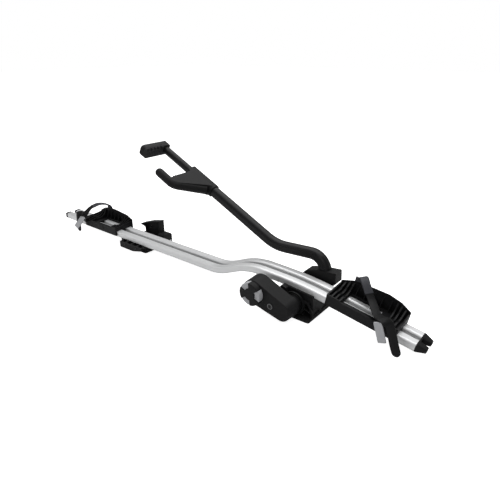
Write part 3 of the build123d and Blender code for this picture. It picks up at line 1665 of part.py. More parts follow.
def make_lever(clasp):
    """Release lever: a barrel on the pin and a flat grip that hangs from it."""
    half_lever = lever_width / 2
    with BuildPart() as lever:
        with BuildSketch(clasp.grip_plane().offset(lever_barrel_radius - lever_thickness)):
            with Locations((0, -lever_length / 2 + lever_barrel_radius)):
                RectangleRounded(lever_width, lever_length, lever_barrel_radius / 2)
        extrude(amount=lever_thickness)
        with BuildSketch(clasp.pin_plane(-half_lever)):
            Circle(lever_barrel_radius)
        extrude(amount=lever_width)
        with BuildSketch(clasp.pin_plane(-half_lever)):
            Circle(lever_pin_radius + running_fit)
        extrude(amount=lever_width, mode=Mode.SUBTRACT)
    return lever.part


def write_wheel_holder(name, frame, side, route, anchor_stations, anchor_x, clasp):
    """Writes one tray with its anchor, strap, buckle, pin and lever."""
    frames = route_frames(route)
    save(place(tray.part, frame, side), f"{name}_tray")
    anchor = make_anchor(frames[:anchor_stations], anchor_x)
    save(place(anchor, frame, side), f"{name}_anchor")
    strap = band(frames[anchor_stations - 1 :], strap_width, strap_thickness)
    save(place(strap, frame, side), f"{name}_strap")
    save(place(make_buckle(clasp), frame, side), f"{name}_buckle")
    save(place(make_pin(clasp), frame, side), f"{name}_lever_pin")
    save(place(make_lever(clasp), frame, side), f"{name}_lever")


front_pin_shares = (0.555, 0.53)
front_pin_tilt = 28.6
front_grip_lean = 0
rear_pin_shares = (0.78, 0.57)
rear_pin_tilt = 30
rear_grip_lean = 25
front_clasp = Clasp(
    half_tray * front_pin_shares[0],
    ridge_height * front_pin_shares[1],
    front_pin_tilt,
    front_grip_lean,
    near_mid_height,
)
rear_clasp = Clasp(
    half_tray * rear_pin_shares[0],
    ridge_height * rear_pin_shares[1],
    rear_pin_tilt,
    rear_grip_lean,
    near_end_height,
)
write_wheel_holder(
    "front",
    front_frame,
    1,
    front_route_shares,
    front_anchor_stations,
    front_route_shares[0][0][0] * half_tray,
    front_clasp,
)
write_wheel_holder(
    "rear",
    rear_frame,
    -1,
    rear_route_shares,
    rear_anchor_stations,
    rear_route_shares[0][0][0] * half_tray,
    rear_clasp,
)
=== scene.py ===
"""Looks of the roof mounted bike carrier, dressed over its packed construction model.

Lengths are in metres in the carrier's own frame: +X to the rail's front end, +Y to the arm's
side, +Z up, with the origin at the centre of the front foot's sole.
"""

import logging
import math
from dataclasses import dataclass, field
from enum import Enum
from typing import ClassVar, Iterable, Sequence

import bmesh
import bpy
from mathutils import Matrix, Vector


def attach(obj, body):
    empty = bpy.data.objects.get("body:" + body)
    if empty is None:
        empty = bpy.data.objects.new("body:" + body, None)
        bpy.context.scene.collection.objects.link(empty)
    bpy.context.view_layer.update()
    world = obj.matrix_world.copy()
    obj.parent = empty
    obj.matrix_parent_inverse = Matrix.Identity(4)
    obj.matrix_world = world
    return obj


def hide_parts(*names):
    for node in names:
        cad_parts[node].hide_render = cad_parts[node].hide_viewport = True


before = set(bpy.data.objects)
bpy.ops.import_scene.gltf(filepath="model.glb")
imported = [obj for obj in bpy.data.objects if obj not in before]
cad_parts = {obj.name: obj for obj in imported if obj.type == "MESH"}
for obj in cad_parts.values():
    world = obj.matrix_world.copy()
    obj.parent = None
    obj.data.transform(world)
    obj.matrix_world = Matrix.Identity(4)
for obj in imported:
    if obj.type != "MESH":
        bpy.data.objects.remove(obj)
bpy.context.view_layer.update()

log = logging.getLogger("bike_carrier")
MM = 0.001
WHITE = (1.0, 1.0, 1.0, 1.0)
MERGE_DISTANCE = 1e-6


class Surface(Enum):
    """The finishes that the carrier's pieces are made in."""

    ANODISED_RAIL = "anodised_rail"
    MOULDED_BLACK = "moulded_black"
    TRAY_BLACK = "tray_black"
    ARM_BLACK = "arm_black"
    SOFT_RUBBER = "soft_rubber"
    STRAP_RUBBER = "strap_rubber"
    ANCHOR_GREY = "anchor_grey"
    GRIP_GREY = "grip_grey"
    ZINC_STEEL = "zinc_steel"
    TURNED_BRASS = "turned_brass"
    LOCK_METAL = "lock_metal"
    BLACK_STEEL = "black_steel"


class NodeSheet:
    """A node tree with short calls for adding and joining its nodes."""

    def __init__(self, tree: bpy.types.NodeTree) -> None:
        """Keeps the tree.

        Args:
            tree: The tree that nodes are added to.
        """
        self.tree = tree

    def add(self, kind: str, **inputs: object) -> bpy.types.Node:
        """Adds a node and sets its inputs by name.

        Args:
            kind: Blender's name for the node's type.
            **inputs: Values or output sockets, with spaces in names written as underscores.

        Returns:
            The new node.
        """
        node = self.tree.nodes.new(kind)
        for name, value in inputs.items():
            self.put(node.inputs[name.replace("_", " ")], value)
        return node

    def group(self, tree: bpy.types.NodeTree, **inputs: object) -> bpy.types.Node:
        """Adds one of the shared shader groups.

        Args:
            tree: The group.
            **inputs: Values or output sockets for its inputs.

        Returns:
            The new node.
        """
        node = self.tree.nodes.new("ShaderNodeGroup")
        node.node_tree = tree
        for name, value in inputs.items():
            self.put(node.inputs[name], value)
        return node

    def put(self, socket: bpy.types.NodeSocket, value: object) -> None:
        """Gives a socket a value, or joins it to another node's output.

        Args:
            socket: The input socket.
            value: A value, or an output socket.
        """
        if isinstance(value, bpy.types.NodeSocket):
            self.tree.links.new(value, socket)
        else:
            socket.default_value = value

    def math(self, operation: str, first: object, second: object = 0.0) -> bpy.types.NodeSocket:
        """Adds a Math node.

        Args:
            operation: The operation's name.
            first: Its first value or socket.
            second: Its second value or socket.

        Returns:
            The result's socket.
        """
        node = self.tree.nodes.new("ShaderNodeMath")
        node.operation = operation
        self.put(node.inputs[0], first)
        self.put(node.inputs[1], second)
        return node.outputs[0]


def new_group(name: str, inputs: dict[str, float], outputs: Sequence[str]) -> NodeSheet:
    """Starts a shader node group of plain numbers.

    Args:
        name: The group's name.
        inputs: Each input's name and default.
        outputs: Names of the outputs.

    Returns:
        The group's tree.
    """
    tree = bpy.data.node_groups.new(name, "ShaderNodeTree")
    for label, default in inputs.items():
        socket = tree.interface.new_socket(label, in_out="INPUT", socket_type="NodeSocketFloat")
        socket.default_value = default
    for label in outputs:
        tree.interface.new_socket(label, in_out="OUTPUT", socket_type="NodeSocketFloat")
    return NodeSheet(tree)


class EffectGroups:
    """The shader groups that several finishes share."""

    wave_scale = 60.0
    wave_detail = 4.0
    scratch_turn = (0.6, 0.2, 0.9)
    scratch_stretch = (1.0, 14.0, 14.0)
    scratch_scale = 45.0
    scratch_detail = 5.0
    scratch_level = 0.66
    patch_scale = 18.0
    patch_detail = 3.0
    patch_level = 0.45
    patch_gain = 3.0
    draw_stretch = (0.004, 1.0, 1.0)
    draw_detail = 3.0
    valley_blur = 0.0012

    def __init__(self) -> None:
        """Builds every group once."""
        self.grain = self.build_grain()
        self.scuffs = self.build_scuffs()
        self.draw_lines = self.build_draw_lines()
        self.valley = self.build_valley()

    def build_grain(self) -> bpy.types.NodeTree:
        """Spark-eroded grain of a moulded surface: fine pits over soft waves.

        Returns:
            The group, with Height and Mottle outputs.
        """
        sheet = new_group("mould_grain", {"Pitch": 0.001, "Waves": 0.3}, ("Height", "Mottle"))
        ins = sheet.add("NodeGroupInput")
        place = sheet.add("ShaderNodeTexCoord")
        rate = sheet.math("DIVIDE", 1.0, ins.outputs["Pitch"])
        pits = sheet.add("ShaderNodeTexVoronoi", Vector=place.outputs["Object"], Scale=rate)
        waves = sheet.add(
            "ShaderNodeTexNoise",
            Vector=place.outputs["Object"],
            Scale=self.wave_scale,
            Detail=self.wave_detail,
        )
        low = sheet.math("MULTIPLY", waves.outputs[0], ins.outputs["Waves"])
        outs = sheet.add("NodeGroupOutput")
        sheet.put(outs.inputs["Height"], sheet.math("ADD", pits.outputs["Distance"], low))
        sheet.put(outs.inputs["Mottle"], waves.outputs[0])
        return sheet.tree

    def build_scuffs(self) -> bpy.types.NodeTree:
        """Handling marks: thin scratches in patches, and dust where a face looks up.

        Returns:
            The group, with Scratch and Dust outputs.
        """
        sheet = new_group("handling_marks", {"Amount": 0.3, "Dust": 0.2}, ("Scratch", "Dust"))
        ins = sheet.add("NodeGroupInput")
        place = sheet.add("ShaderNodeTexCoord")
        turned = sheet.add(
            "ShaderNodeMapping",
            Vector=place.outputs["Object"],
            Rotation=self.scratch_turn,
            Scale=self.scratch_stretch,
        )
        thin = sheet.add(
            "ShaderNodeTexNoise",
            Vector=turned.outputs[0],
            Scale=self.scratch_scale,
            Detail=self.scratch_detail,
        )
        line = sheet.math("GREATER_THAN", thin.outputs[0], self.scratch_level)
        patch = sheet.add(
            "ShaderNodeTexNoise",
            Vector=place.outputs["Object"],
            Scale=self.patch_scale,
            Detail=self.patch_detail,
        )
        over = sheet.math("SUBTRACT", patch.outputs[0], self.patch_level)
        worn = sheet.math("MULTIPLY", over, self.patch_gain)
        clamped = sheet.math("MINIMUM", sheet.math("MAXIMUM", worn, 0.0), 1.0)
        marked = sheet.math("MULTIPLY", line, clamped)
        scratch = sheet.math("MULTIPLY", marked, ins.outputs["Amount"])
        facing = sheet.add("ShaderNodeNewGeometry")
        split = sheet.add("ShaderNodeSeparateXYZ", Vector=facing.outputs["Normal"])
        upward = sheet.math("MAXIMUM", split.outputs["Z"], 0.0)
        caught = sheet.math("MULTIPLY", upward, patch.outputs[0])
        settled = sheet.math("MULTIPLY", caught, ins.outputs["Dust"])
        outs = sheet.add("NodeGroupOutput")
        sheet.put(outs.inputs["Scratch"], scratch)
        sheet.put(outs.inputs["Dust"], settled)
        return sheet.tree

    def build_draw_lines(self) -> bpy.types.NodeTree:
        """Lines that the die leaves along an extrusion.

        Returns:
            The group, with a Line output.
        """
        sheet = new_group("draw_lines", {"Density": 900.0}, ("Line",))
        ins = sheet.add("NodeGroupInput")
        place = sheet.add("ShaderNodeTexCoord")
        drawn = sheet.add(
            "ShaderNodeMapping", Vector=place.outputs["Object"], Scale=self.draw_stretch
        )
        streak = sheet.add(
            "ShaderNodeTexNoise",
            Vector=drawn.outputs[0],
            Scale=ins.outputs["Density"],
            Detail=self.draw_detail,
        )
        outs = sheet.add("NodeGroupOutput")
        sheet.put(outs.inputs["Line"], streak.outputs[0])
        return sheet.tree

    def build_valley(self) -> bpy.types.NodeTree:
        """Painted shade in the valley between the rail's lobes, where the lobes' walls shadow
        the groove.

        Returns:
            The group, with a Level output of 1 outside the valley.
        """
        sheet = new_group("valley_shade", {"Half": 0.007, "Depth": 0.5}, ("Level",))
        ins = sheet.add("NodeGroupInput")
        place = sheet.add("ShaderNodeTexCoord")
        split = sheet.add("ShaderNodeSeparateXYZ", Vector=place.outputs["Object"])
        # Painted shade: the colour is darker where the place across the rail lies inside the
        # valley's half width.
        away = sheet.math("ABSOLUTE", split.outputs["Y"])
        depth = sheet.math("SUBTRACT", ins.outputs["Half"], away)
        edge = sheet.math("DIVIDE", depth, self.valley_blur)
        inside = sheet.math("MINIMUM", sheet.math("MAXIMUM", edge, 0.0), 1.0)
        outs = sheet.add("NodeGroupOutput")
        loss = sheet.math("MULTIPLY", inside, ins.outputs["Depth"])
        sheet.put(outs.inputs["Level"], sheet.math("SUBTRACT", 1.0, loss))
        return sheet.tree


@dataclass(frozen=True)
class Finish:
    """One finish: its colour, gloss, grain and the marks of use.

    Attributes:
        surface: Which finish it is.
        colour: Linear colour.
        roughness: Roughness of the clean surface.
        metallic: 1 for bare metal, less for an anodised one.
        grain_pitch: Distance between the grain's pits in metres.
        grain_depth: Strength of the grain's relief.
        mottle: How far the tone wanders.
        scratches: Strength of the scratches.
        dust: Strength of the dust on faces that look up.
        draw_density: How close the die's lines lie, or 0 for a moulded grain.
        sheen: Level of the clear reflection.
        valley_half: Half the width of the rail's valley that gets painted shade, in metres.
        valley_depth: How much of the tone the painted shade in the valley takes away.
    """

    wear_share: ClassVar[float] = 0.35
    wear_gain: ClassVar[float] = 0.5
    wear_lift: ClassVar[float] = 0.22
    tone_gloss: ClassVar[float] = 0.5
    scratch_gloss: ClassVar[float] = 0.3
    bump_distance: ClassVar[float] = 0.0006

    surface: Surface
    colour: tuple[float, float, float]
    roughness: float
    metallic: float = 0.0
    grain_pitch: float = 0.0009
    grain_depth: float = 0.05
    mottle: float = 0.08
    scratches: float = 0.25
    dust: float = 0.02
    draw_density: float = 0.0
    sheen: float = 0.5
    valley_half: float = 0.0
    valley_depth: float = 0.0

    def build(self, groups: EffectGroups) -> bpy.types.Material:
        """Makes the material.

        Args:
            groups: The shared effect groups.

        Returns:
            The finished material.
        """
        material = bpy.data.materials.new(self.surface.value)
        material.use_nodes = True
        material.diffuse_color = (*self.colour, 1.0)
        sheet = NodeSheet(material.node_tree)
        shader = sheet.tree.nodes["Principled BSDF"]
        shader.inputs["Metallic"].default_value = self.metallic
        shader.inputs["Specular IOR Level"].default_value = self.sheen
        grain = sheet.group(groups.grain, Pitch=self.grain_pitch)
        marks = sheet.group(groups.scuffs, Amount=self.scratches, Dust=self.dust)
        height, wander = grain.outputs["Height"], grain.outputs["Mottle"]
        if self.draw_density:
            lines = sheet.group(groups.draw_lines, Density=self.draw_density)
            height = wander = lines.outputs["Line"]
        tone = sheet.math("MULTIPLY", sheet.math("SUBTRACT", wander, 0.5), self.mottle * 2)
        sheet.put(shader.inputs["Base Color"], self.shaded_worn_colour(sheet, groups, tone, marks))
        gloss = sheet.math(
            "ADD", self.roughness, sheet.math("MULTIPLY", tone, self.tone_gloss)
        )
        rubbed = sheet.math("MULTIPLY", marks.outputs["Scratch"], self.scratch_gloss)
        sheet.put(shader.inputs["Roughness"], sheet.math("ADD", gloss, rubbed))
        bump = sheet.add(
            "ShaderNodeBump", Strength=self.grain_depth, Distance=self.bump_distance
        )
        sheet.put(bump.inputs["Height"], height)
        sheet.put(shader.inputs["Normal"], bump.outputs[0])
        return material

    def shaded_worn_colour(
        self,
        sheet: NodeSheet,
        groups: EffectGroups,
        tone: bpy.types.NodeSocket,
        marks: bpy.types.Node,
    ) -> bpy.types.NodeSocket:
        """The finish's colour with its mottle, the painted shade in the rail's valley, scratches
        and dust.

        Args:
            sheet: The material's tree.
            groups: The shared effect groups.
            tone: How much lighter or darker the colour is from place to place.
            marks: The node with the marks of use.

        Returns:
            The colour's socket.
        """
        level = sheet.math("ADD", 1.0, tone)
        # Painted shade: the colour darkens in the valley between the rail's lobes, standing in
        # for the shadow of the lobes' walls.
        if self.valley_depth:
            valley = sheet.group(
                groups.valley, Half=self.valley_half, Depth=self.valley_depth
            )
            level = sheet.math("MULTIPLY", level, valley.outputs["Level"])
        shade = sheet.add("ShaderNodeHueSaturation", Color=(*self.colour, 1.0), Value=level)
        pale = sheet.math("ADD", marks.outputs["Dust"], marks.outputs["Scratch"])
        worn = sheet.add("ShaderNodeMix")
        worn.data_type = "RGBA"
        sheet.put(worn.inputs["Factor"], sheet.math("MULTIPLY", pale, self.wear_share))
        sheet.put(worn.inputs["A"], shade.outputs[0])
        lifted = tuple(min(1.0, self.wear_gain * c + self.wear_lift) for c in self.colour)
        worn.inputs["B"].default_value = (*lifted, 1.0)
        return worn.outputs["Result"]


FINISHES = (
    Finish(
        Surface.ANODISED_RAIL,
        (0.72, 0.725, 0.73),
        0.46,
        metallic=0.65,
        draw_density=900.0,
        grain_depth=0.03,
        mottle=0.05,
        scratches=0.08,
        dust=0.0,
        # Painted shade darkens the valley between the rail's lobes.
        valley_half=0.0074,
        valley_depth=0.62,
    ),
    Finish(Surface.MOULDED_BLACK, (0.0085, 0.0085, 0.009), 0.5, sheen=0.13),
    Finish(Surface.TRAY_BLACK, (0.007, 0.007, 0.0075), 0.42, grain_depth=0.04, sheen=0.14),
    Finish(
        Surface.ARM_BLACK,
        (0.0075, 0.0075, 0.008),
        0.36,
        grain_pitch=0.0006,
        grain_depth=0.03,
        sheen=0.2,
    ),
    Finish(
        Surface.SOFT_RUBBER,
        (0.016, 0.016, 0.0175),
        0.7,
        grain_pitch=0.0014,
        grain_depth=0.1,
        dust=0.05,
        sheen=0.2,
    ),
    Finish(
        Surface.STRAP_RUBBER,
        (0.005, 0.005, 0.0055),
        0.45,
        grain_pitch=0.0012,
        grain_depth=0.06,
        dust=0.02,
        sheen=0.14,
    ),
    Finish(Surface.ANCHOR_GREY, (0.040, 0.041, 0.048), 0.5, sheen=0.3),
    Finish(Surface.GRIP_GREY, (0.38, 0.385, 0.40), 0.45, grain_depth=0.04, sheen=0.3),
    Finish(Surface.ZINC_STEEL, (0.55, 0.56, 0.57), 0.3, metallic=1.0, grain_depth=0.02),
    Finish(Surface.TURNED_BRASS, (0.7, 0.55, 0.28), 0.3, metallic=1.0, grain_depth=0.02),
    Finish(Surface.LOCK_METAL, (0.16, 0.16, 0.165), 0.35, metallic=0.9, grain_depth=0.02),
    Finish(Surface.BLACK_STEEL, (0.012, 0.012, 0.013), 0.4, grain_depth=0.02, sheen=0.3),
)


class PaintShop:
    """Holds every built material and gives pieces their finish."""

    def __init__(self) -> None:
        """Builds the shared groups and all the materials."""
        groups = EffectGroups()
        self.materials = {finish.surface: finish.build(groups) for finish in FINISHES}

    def dress(self, piece: bpy.types.Object, surface: Surface) -> None:
        """Gives a piece one finish all over.

        Args:
            piece: The object.
            surface: Its finish.
        """
        piece.data.materials.clear()
        piece.data.materials.append(self.materials[surface])

    def dress_nodes(self, names: Iterable[str], surface: Surface) -> None:
        """Gives construction nodes their finish.

        Args:
            names: The nodes' names.
            surface: The finish.
        """
        for name in names:
            self.dress(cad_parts[name], surface)
            log.info("%s is finished in %s", name, surface.value)


def finished_mesh(name: str, mesh: bpy.types.Mesh, smooth: bool = True) -> bpy.types.Object:
    """Links a mesh as an object at the origin, with its normals outwards.

    Args:
        name: The object's name.
        mesh: Its mesh, with its place in the vertices.
        smooth: Whether shading is smooth.

    Returns:
        The object.
    """
    work = bmesh.new()
    work.from_mesh(mesh)
    bmesh.ops.remove_doubles(work, verts=work.verts, dist=MERGE_DISTANCE)
    bmesh.ops.recalc_face_normals(work, faces=work.faces)
    for face in work.faces:
        face.smooth = smooth
    work.to_mesh(mesh)
    work.free()
    piece = bpy.data.objects.new(name, mesh)
    bpy.context.scene.collection.objects.link(piece)
    return piece


@dataclass(frozen=True)
class Station:
    """One place on a strap's route, in millimetres in the tray's own frame."""

    place: tuple[float, float, float]
    across: tuple[float, float, float]


@dataclass
class TraySeat:
    """Where a wheel tray sits on the rail, and which way its outer end faces."""

    origin: Vector
    fall: float = 0.0
    outward: float = 1.0

    def to_carrier(self, point: Vector) -> Vector:
        """Takes a point from the tray's own frame, in millimetres, to the carrier's frame.

        Args:
            point: The point in millimetres.

        Returns:
            The point in metres.
        """
        return self.origin + self.turn(point) * MM

    def turn(self, direction: Vector) -> Vector:
        """Takes a direction from the tray's own frame to the carrier's frame.

        Args:
            direction: The direction.

        Returns:
            The turned direction.
        """
        flipped = Vector((direction.x * self.outward, direction.y, direction.z))
        return Matrix.Rotation(self.fall, 3, "Y") @ flipped


class Route:
    """A smooth run through a strap's stations, with the direction across the strap."""

    steps_per_span = 60
    steps_behind = 2
    steps_ahead = 3

    def __init__(self, stations: Sequence[Station], seat: TraySeat) -> None:
        """Places the stations.

        Args:
            stations: The strap's stations.
            seat: The tray's seat.
        """
        self.points = [seat.to_carrier(Vector(s.place)) for s in stations]
        self.sides = [seat.turn(Vector(s.across)).normalized() for s in stations]

    def blend(self, values: Sequence[Vector], t: float) -> Vector:
        """Catmull-Rom value between stations.

        Args:
            values: One vector per station.
            t: Place along the run, in stations.

        Returns:
            The blended vector.
        """
        last = len(values) - 1
        k = min(int(t), last - 1)
        f = t - k
        p0, p1 = values[max(k - 1, 0)], values[k]
        p2, p3 = values[k + 1], values[min(k + 2, last)]
        return 0.5 * (
            2 * p1
            + (p2 - p0) * f
            + (2 * p0 - 5 * p1 + 4 * p2 - p3) * f * f
            + (3 * p1 - p0 - 3 * p2 + p3) * f * f * f
        )

    def frames(self, pitch: float) -> list[tuple[Vector, Vector, Vector, Vector]]:
        """Evenly spaced frames along the run.

        Args:
            pitch: Distance between frames in metres.

        Returns:
            Point, direction along, direction across and outward normal of each frame.
        """
        count = self.steps_per_span * (len(self.points) - 1)
        times = [i / self.steps_per_span for i in range(count + 1)]
        fine = [self.blend(self.points, t) for t in times]
        sides = [self.blend(self.sides, t) for t in times]
        reach = [0.0]
        for before, after in zip(fine, fine[1:]):
            reach.append(reach[-1] + (after - before).length)
        steps = max(2, round(reach[-1] / pitch))
        found = []
        k = 0
        for step in range(steps + 1):
            goal = reach[-1] * step / steps
            while k < len(reach) - 2 and reach[k + 1] < goal:
                k += 1
            span = reach[k + 1] - reach[k]
            f = (goal - reach[k]) / span if span else 0.0
            point = fine[k].lerp(fine[k + 1], f)
            low = max(k - self.steps_behind, 0)
            high = min(k + self.steps_ahead, len(fine) - 1)
            along = (fine[high] - fine[low]).normalized()
            side = sides[k].lerp(sides[k + 1], f)
            side = (side - along * side.dot(along)).normalized()
            found.append((point, along, side, side.cross(along).normalized()))
        return found


@dataclass
class Band:
    """A flat strap with rounded edges that follows a route.

    Attributes:
        width: The strap's width.
        thickness: Its thickness.
        pitch: Distance between the sections along the run.
        round_tip: Whether its far end is round.
        bevel_share: Radius of the edges as a share of the thickness.
        tip_width_share: Least width at the tip as a share of the thickness.
        smallest_square: Least square of the tip's half width, which keeps the root real.
    """

    width: float
    thickness: float
    pitch: float = 0.0015
    round_tip: bool = True
    bevel_share: float = 0.35
    tip_width_share: float = 2.2
    smallest_square: float = 1e-7

    def section(self, width: float, thickness: float) -> list[tuple[float, float]]:
        """Rounded outline across the band.

        Args:
            width: Width of this section.
            thickness: Thickness of this section.

        Returns:
            Points as (across, out).
        """
        radius = thickness * self.bevel_share
        points = []
        for sx, sy, start in ((1, 1, 0), (-1, 1, 90), (-1, -1, 180), (1, -1, 270)):
            for step in (0, 30, 60, 90):
                angle = math.radians(start + step)
                across = sx * (width / 2 - radius) + radius * math.cos(angle)
                out = sy * (thickness / 2 - radius) + radius * math.sin(angle)
                points.append((across, out))
        return points

    def mesh(self, name: str, route: Route) -> bpy.types.Mesh:
        """Sweeps the section along the route.

        Args:
            name: The mesh's name.
            route: The run to follow.

        Returns:
            The closed mesh.
        """
        work = bmesh.new()
        frames = route.frames(self.pitch)
        total = sum((b[0] - a[0]).length for a, b in zip(frames, frames[1:]))
        rings = []
        gone = 0.0
        for k, (point, _, side, out) in enumerate(frames):
            if k:
                gone += (point - frames[k - 1][0]).length
            left = max(total - gone, 0.0)
            width = self.width
            if self.round_tip and left < width / 2:
                square = (width / 2) ** 2 - (width / 2 - left) ** 2
                width = 2 * math.sqrt(max(square, self.smallest_square))
            width = max(width, self.tip_width_share * self.thickness)
            ring = [
                work.verts.new(point + side * a + out * b)
                for a, b in self.section(width, self.thickness)
            ]
            rings.append(ring)
        for first, second in zip(rings, rings[1:]):
            for i in range(len(first)):
                j = (i + 1) % len(first)
                work.faces.new((first[i], first[j], second[j], second[i]))
        for ring in (rings[0], rings[-1]):
            work.faces.new(ring)
        mesh = bpy.data.meshes.new(name)
        work.to_mesh(mesh)
        work.free()
        return mesh


class RibRow:
    """Raised rubber ribs in a row, placed by a Geometry Nodes tree."""

    default_sizes = (("Width", 0.018), ("Length", 0.002), ("Height", 0.0012))
    rounding_level = 1
    edge_crease = 0.55

    def __init__(self, shop: PaintShop) -> None:
        """Builds the tree once.

        Args:
            shop: Where the ribs' material comes from.
        """
        self.shop = shop
        self.tree = self.build_tree()

    def build_tree(self) -> bpy.types.NodeTree:
        """Puts one rounded rib on each point, turned by the point's own attribute.

        Returns:
            The node tree.
        """
        tree = bpy.data.node_groups.new("strap_ribs", "GeometryNodeTree")
        face = tree.interface
        face.new_socket("Points", in_out="INPUT", socket_type="NodeSocketGeometry")
        for label, default in self.default_sizes:
            socket = face.new_socket(label, in_out="INPUT", socket_type="NodeSocketFloat")
            socket.default_value = default
        face.new_socket("Ribs", in_out="OUTPUT", socket_type="NodeSocketGeometry")
        sheet = NodeSheet(tree)
        ins = sheet.add("NodeGroupInput")
        size = sheet.add("ShaderNodeCombineXYZ")
        for axis, (label, _) in zip("XYZ", self.default_sizes):
            sheet.put(size.inputs[axis], ins.outputs[label])
        rib = sheet.add("GeometryNodeMeshCube", Size=size.outputs[0])
        soft = sheet.add("GeometryNodeSubdivisionSurface", Mesh=rib.outputs["Mesh"])
        soft.inputs["Level"].default_value = self.rounding_level
        soft.inputs["Edge Crease"].default_value = self.edge_crease
        turn = sheet.add("GeometryNodeInputNamedAttribute", Name="rib_turn")
        turn.data_type = "FLOAT_VECTOR"
        put = sheet.add(
            "GeometryNodeInstanceOnPoints",
            Points=ins.outputs["Points"],
            Instance=soft.outputs[0],
        )
        sheet.put(put.inputs["Rotation"], turn.outputs["Attribute"])
        real = sheet.add("GeometryNodeRealizeInstances", Geometry=put.outputs[0])
        paint = sheet.add("GeometryNodeSetMaterial", Geometry=real.outputs[0])
        paint.inputs["Material"].default_value = self.shop.materials[Surface.STRAP_RUBBER]
        outs = sheet.add("NodeGroupOutput")
        sheet.put(outs.inputs["Ribs"], paint.outputs[0])
        return tree

    def make(
        self,
        name: str,
        places: Sequence[tuple[Vector, Vector, Vector, Vector]],
        sizes: tuple[float, float, float],
    ) -> bpy.types.Mesh:
        """Makes one row of ribs as a plain mesh.

        Args:
            name: The mesh's name.
            places: Point, along, across and out of each rib.
            sizes: Width, length and height of a rib.

        Returns:
            The ribs' mesh.
        """
        dots = bpy.data.meshes.new(name + "_dots")
        dots.from_pydata([tuple(p[0]) for p in places], [], [])
        turns = dots.attributes.new("rib_turn", "FLOAT_VECTOR", "POINT")
        for k, (_, along, side, out) in enumerate(places):
            turn = Matrix((side, along, out)).transposed()
            if turn.determinant() < 0:
                turn = Matrix((-side, along, out)).transposed()
            turns.data[k].vector = turn.to_euler()
        carrier = bpy.data.objects.new(name + "_dots", dots)
        bpy.context.scene.collection.objects.link(carrier)
        layer = carrier.modifiers.new("ribs", "NODES")
        layer.node_group = self.tree
        keys = {
            item.name: item.identifier
            for item in self.tree.interface.items_tree
            if item.in_out == "INPUT"
        }
        for (label, _), value in zip(self.default_sizes, sizes):
            layer[keys[label]] = value
        bpy.context.view_layer.update()
        ready = carrier.evaluated_get(bpy.context.evaluated_depsgraph_get())
        mesh = bpy.data.meshes.new_from_object(ready)
        bpy.data.objects.remove(carrier)
        return mesh


def joined(name: str, meshes: Sequence[bpy.types.Mesh]) -> bpy.types.Mesh:
    """Joins meshes into one.

    Args:
        name: The new mesh's name.
        meshes: The meshes to join.

    Returns:
        The joined mesh.
    """
    work = bmesh.new()
    for mesh in meshes:
        work.from_mesh(mesh)
    result = bpy.data.meshes.new(name)
    work.to_mesh(result)
    work.free()
    return result


